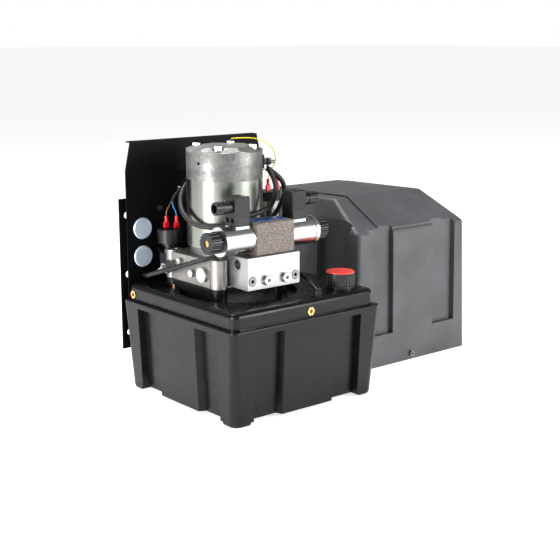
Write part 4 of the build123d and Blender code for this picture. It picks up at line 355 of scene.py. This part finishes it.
SWITCH_SHEATH = [
    (-198.5, 103.0, 317.5),
    (-200.0, 84.0, 318.5),
    (-213.0, 69.0, 320.0),
    (-229.0, 61.0, 315.5),
    (-238.0, 58.0, 304.5),
]
BROWN_WIRE = [
    (-238.6, 59.1, 304.2),
    (-243.0, 58.5, 298.5),
    (-247.8, 59.5, 291.0),
    (-248.6, 59.7, 282.3),
]
BLUE_WIRE = [
    (-237.9, 56.8, 304.2),
    (-239.3, 55.0, 298.0),
    (-236.2, 50.5, 290.5),
    (-235.6, 49.7, 282.3),
]
YELLOW_WIRE = [
    (-160.03, 1.97, 403.58),
    (-167.5, -8.5, 406.0),
    (-162.0, -24.0, 407.5),
    (-145.0, -34.0, 407.5),
    (-124.0, -39.0, 402.0),
    (-107.0, -42.0, 387.0),
    (-101.5, -40.0, 368.0),
    (-107.0, -31.0, 352.0),
    (-109.0, -28.0, 339.3),
]
RED_WIRE = [
    (-87.0, -24.0, 339.3),
    (-87.5, -21.0, 349.5),
    (-96.0, -10.0, 354.0),
    (-110.0, 6.0, 346.0),
    (-124.0, 26.0, 334.0),
    (-142.0, 46.0, 325.0),
    (-164.0, 66.0, 320.5),
    (-181.0, 82.0, 318.5),
    (-184.0, 100.0, 318.0),
]
DRAIN_HOSE = [
    (-123.35, -120.25, 200.55),
    (-119.3, -137.2, 196.5),
    (-116.962, -151.83, 186.012),
]

# Name, CAD node, look, material slot, diameter in millimetres, route.
LEADS = [
    ("feed_lead", "power_leads", "black_rubber", "black_rubber", 8.0, FEED_LEAD),
    ("ground_lead", "power_leads", "black_rubber", "black_rubber", 8.0, GROUND_LEAD),
    ("control_cable", "control_cables", "black_rubber", "black_rubber", 7.0, CONTROL_CABLE),
    ("switch_sheath", "control_cables", "black_rubber", "black_rubber", 6.0, SWITCH_SHEATH),
    ("brown_wire", "signal_wires", "brown_wire", "wire_insulation", 1.8, BROWN_WIRE),
    ("blue_wire", "signal_wires", "blue_wire", "wire_insulation", 1.8, BLUE_WIRE),
    ("yellow_wire", "signal_wires", "yellow_wire", "wire_insulation", 1.8, YELLOW_WIRE),
    ("red_wire", "signal_wires", "red_wire", "wire_insulation", 1.8, RED_WIRE),
    ("drain_hose", "drain_hose", "black_rubber", "black_rubber", 8.0, DRAIN_HOSE),
]
for lead_row in LEADS:
    smooth_lead(*lead_row)


# ---------------------------------------------------------------- stage, light and camera

WHITE = (1.0, 1.0, 1.0, 1.0)
FLOOR_HALF = 60.0
FLOOR_GLOW = 0.7
AMBIENT = 0.24

# Metres and watts: name, place, point it faces, size, power.
LIGHTS = [
    ("left", (-2.3, -0.2, 0.5), (-0.25, 0.0, 0.25), (0.6, 1.0), 54.0),
    ("front", (1.1, -2.3, 0.9), (0.1, 0.0, 0.2), (0.9, 1.3), 66.0),
    ("top", (-0.2, 0.9, 2.2), (-0.1, 0.0, 0.3), (1.8, 1.2), 62.0),
]
CARD_PLACE = (-0.75, -1.9, 0.75)
CARD_TARGET = (-0.19, 0.0, 0.3)
CARD_SIZE = (0.7, 1.6)

CAMERA_PLACE = (-1.2358, -1.4155, 0.5615)
CAMERA_AZIMUTH = math.radians(39.7)
CAMERA_ELEVATION = math.radians(12.3)
CAMERA_LENS = 71.45
CAMERA_SENSOR = 36.0


def facing(place, target):
    """Rotation that turns an object at place to look at target."""
    return (Vector(target) - Vector(place)).to_track_quat("-Z", "Y").to_euler()


def area_light(name, place, target, size, power):
    data = bpy.data.lights.new(name, "AREA")
    data.shape = "RECTANGLE"
    data.size, data.size_y = size
    data.energy = power
    light = bpy.data.objects.new(name, data)
    light.location = place
    light.rotation_euler = facing(place, target)
    bpy.context.scene.collection.objects.link(light)


def stage_sheet(name, half, material):
    """Flat square for the stage, not part of the object."""
    mesh = bpy.data.meshes.new(name)
    build = bmesh.new()
    bmesh.ops.create_grid(build, x_segments=1, y_segments=1, size=half)
    build.to_mesh(mesh)
    build.free()
    mesh.materials.append(material)
    sheet = bpy.data.objects.new(name, mesh)
    bpy.context.scene.collection.objects.link(sheet)
    return sheet


def floor():
    """Plain pale floor, far wider than the object, with a faint glow of its own."""
    shader = Shader("floor_paper", 0.8, specular=0.2)
    shader.bsdf.inputs["Emission Color"].default_value = WHITE
    shader.bsdf.inputs["Emission Strength"].default_value = FLOOR_GLOW
    shader.colour(shader.ramp(shader.noise(2.0, 2.0), [(0.3, grey(0.93)), (0.7, grey(0.95))]))
    stage_sheet("floor", FLOOR_HALF, shader.material)


def dark_card():
    """Black card out of the camera's sight, for dark bands in the polished parts."""
    shader = Shader("card_felt", 0.9, specular=0.1)
    shader.colour(shader.ramp(shader.noise(30.0, 2.0), [(0.3, grey(0.01)), (0.7, grey(0.014))]))
    card = stage_sheet("dark_card", 0.5, shader.material)
    card.location = CARD_PLACE
    card.rotation_euler = facing(CARD_PLACE, CARD_TARGET)
    card.scale = (*CARD_SIZE, 1.0)
    card.visible_camera = False
    card.visible_shadow = False
    card.visible_diffuse = False


def studio_world():
    """White to the camera, softer grey to everything else."""
    world = bpy.data.worlds.new("studio")
    world.use_nodes = True
    tree = world.node_tree
    output = tree.nodes["World Output"]
    seen = tree.nodes["Background"]
    seen.inputs["Color"].default_value = WHITE
    seen.inputs["Strength"].default_value = 1.0
    lit = tree.nodes.new("ShaderNodeBackground")
    lit.inputs["Color"].default_value = WHITE
    lit.inputs["Strength"].default_value = AMBIENT
    path = tree.nodes.new("ShaderNodeLightPath")
    mix = tree.nodes.new("ShaderNodeMixShader")
    tree.links.new(path.outputs["Is Camera Ray"], mix.inputs["Fac"])
    tree.links.new(lit.outputs["Background"], mix.inputs[1])
    tree.links.new(seen.outputs["Background"], mix.inputs[2])
    tree.links.new(mix.outputs["Shader"], output.inputs["Surface"])
    bpy.context.scene.world = world


def camera():
    """Camera to the left of the front and a little above the object."""
    data = bpy.data.cameras.new("camera")
    data.lens = CAMERA_LENS
    data.sensor_width = CAMERA_SENSOR
    data.clip_end = 100.0
    eye = bpy.data.objects.new("camera", data)
    eye.location = CAMERA_PLACE
    level = math.cos(CAMERA_ELEVATION)
    look = Vector(
        (
            math.sin(CAMERA_AZIMUTH) * level,
            math.cos(CAMERA_AZIMUTH) * level,
            -math.sin(CAMERA_ELEVATION),
        )
    )
    eye.rotation_euler = look.to_track_quat("-Z", "Y").to_euler()
    bpy.context.scene.collection.objects.link(eye)
    bpy.context.scene.camera = eye


floor()
studio_world()
for light_row in LIGHTS:
    area_light(*light_row)
dark_card()
camera()
bpy.context.scene.view_settings.view_transform = "Standard"
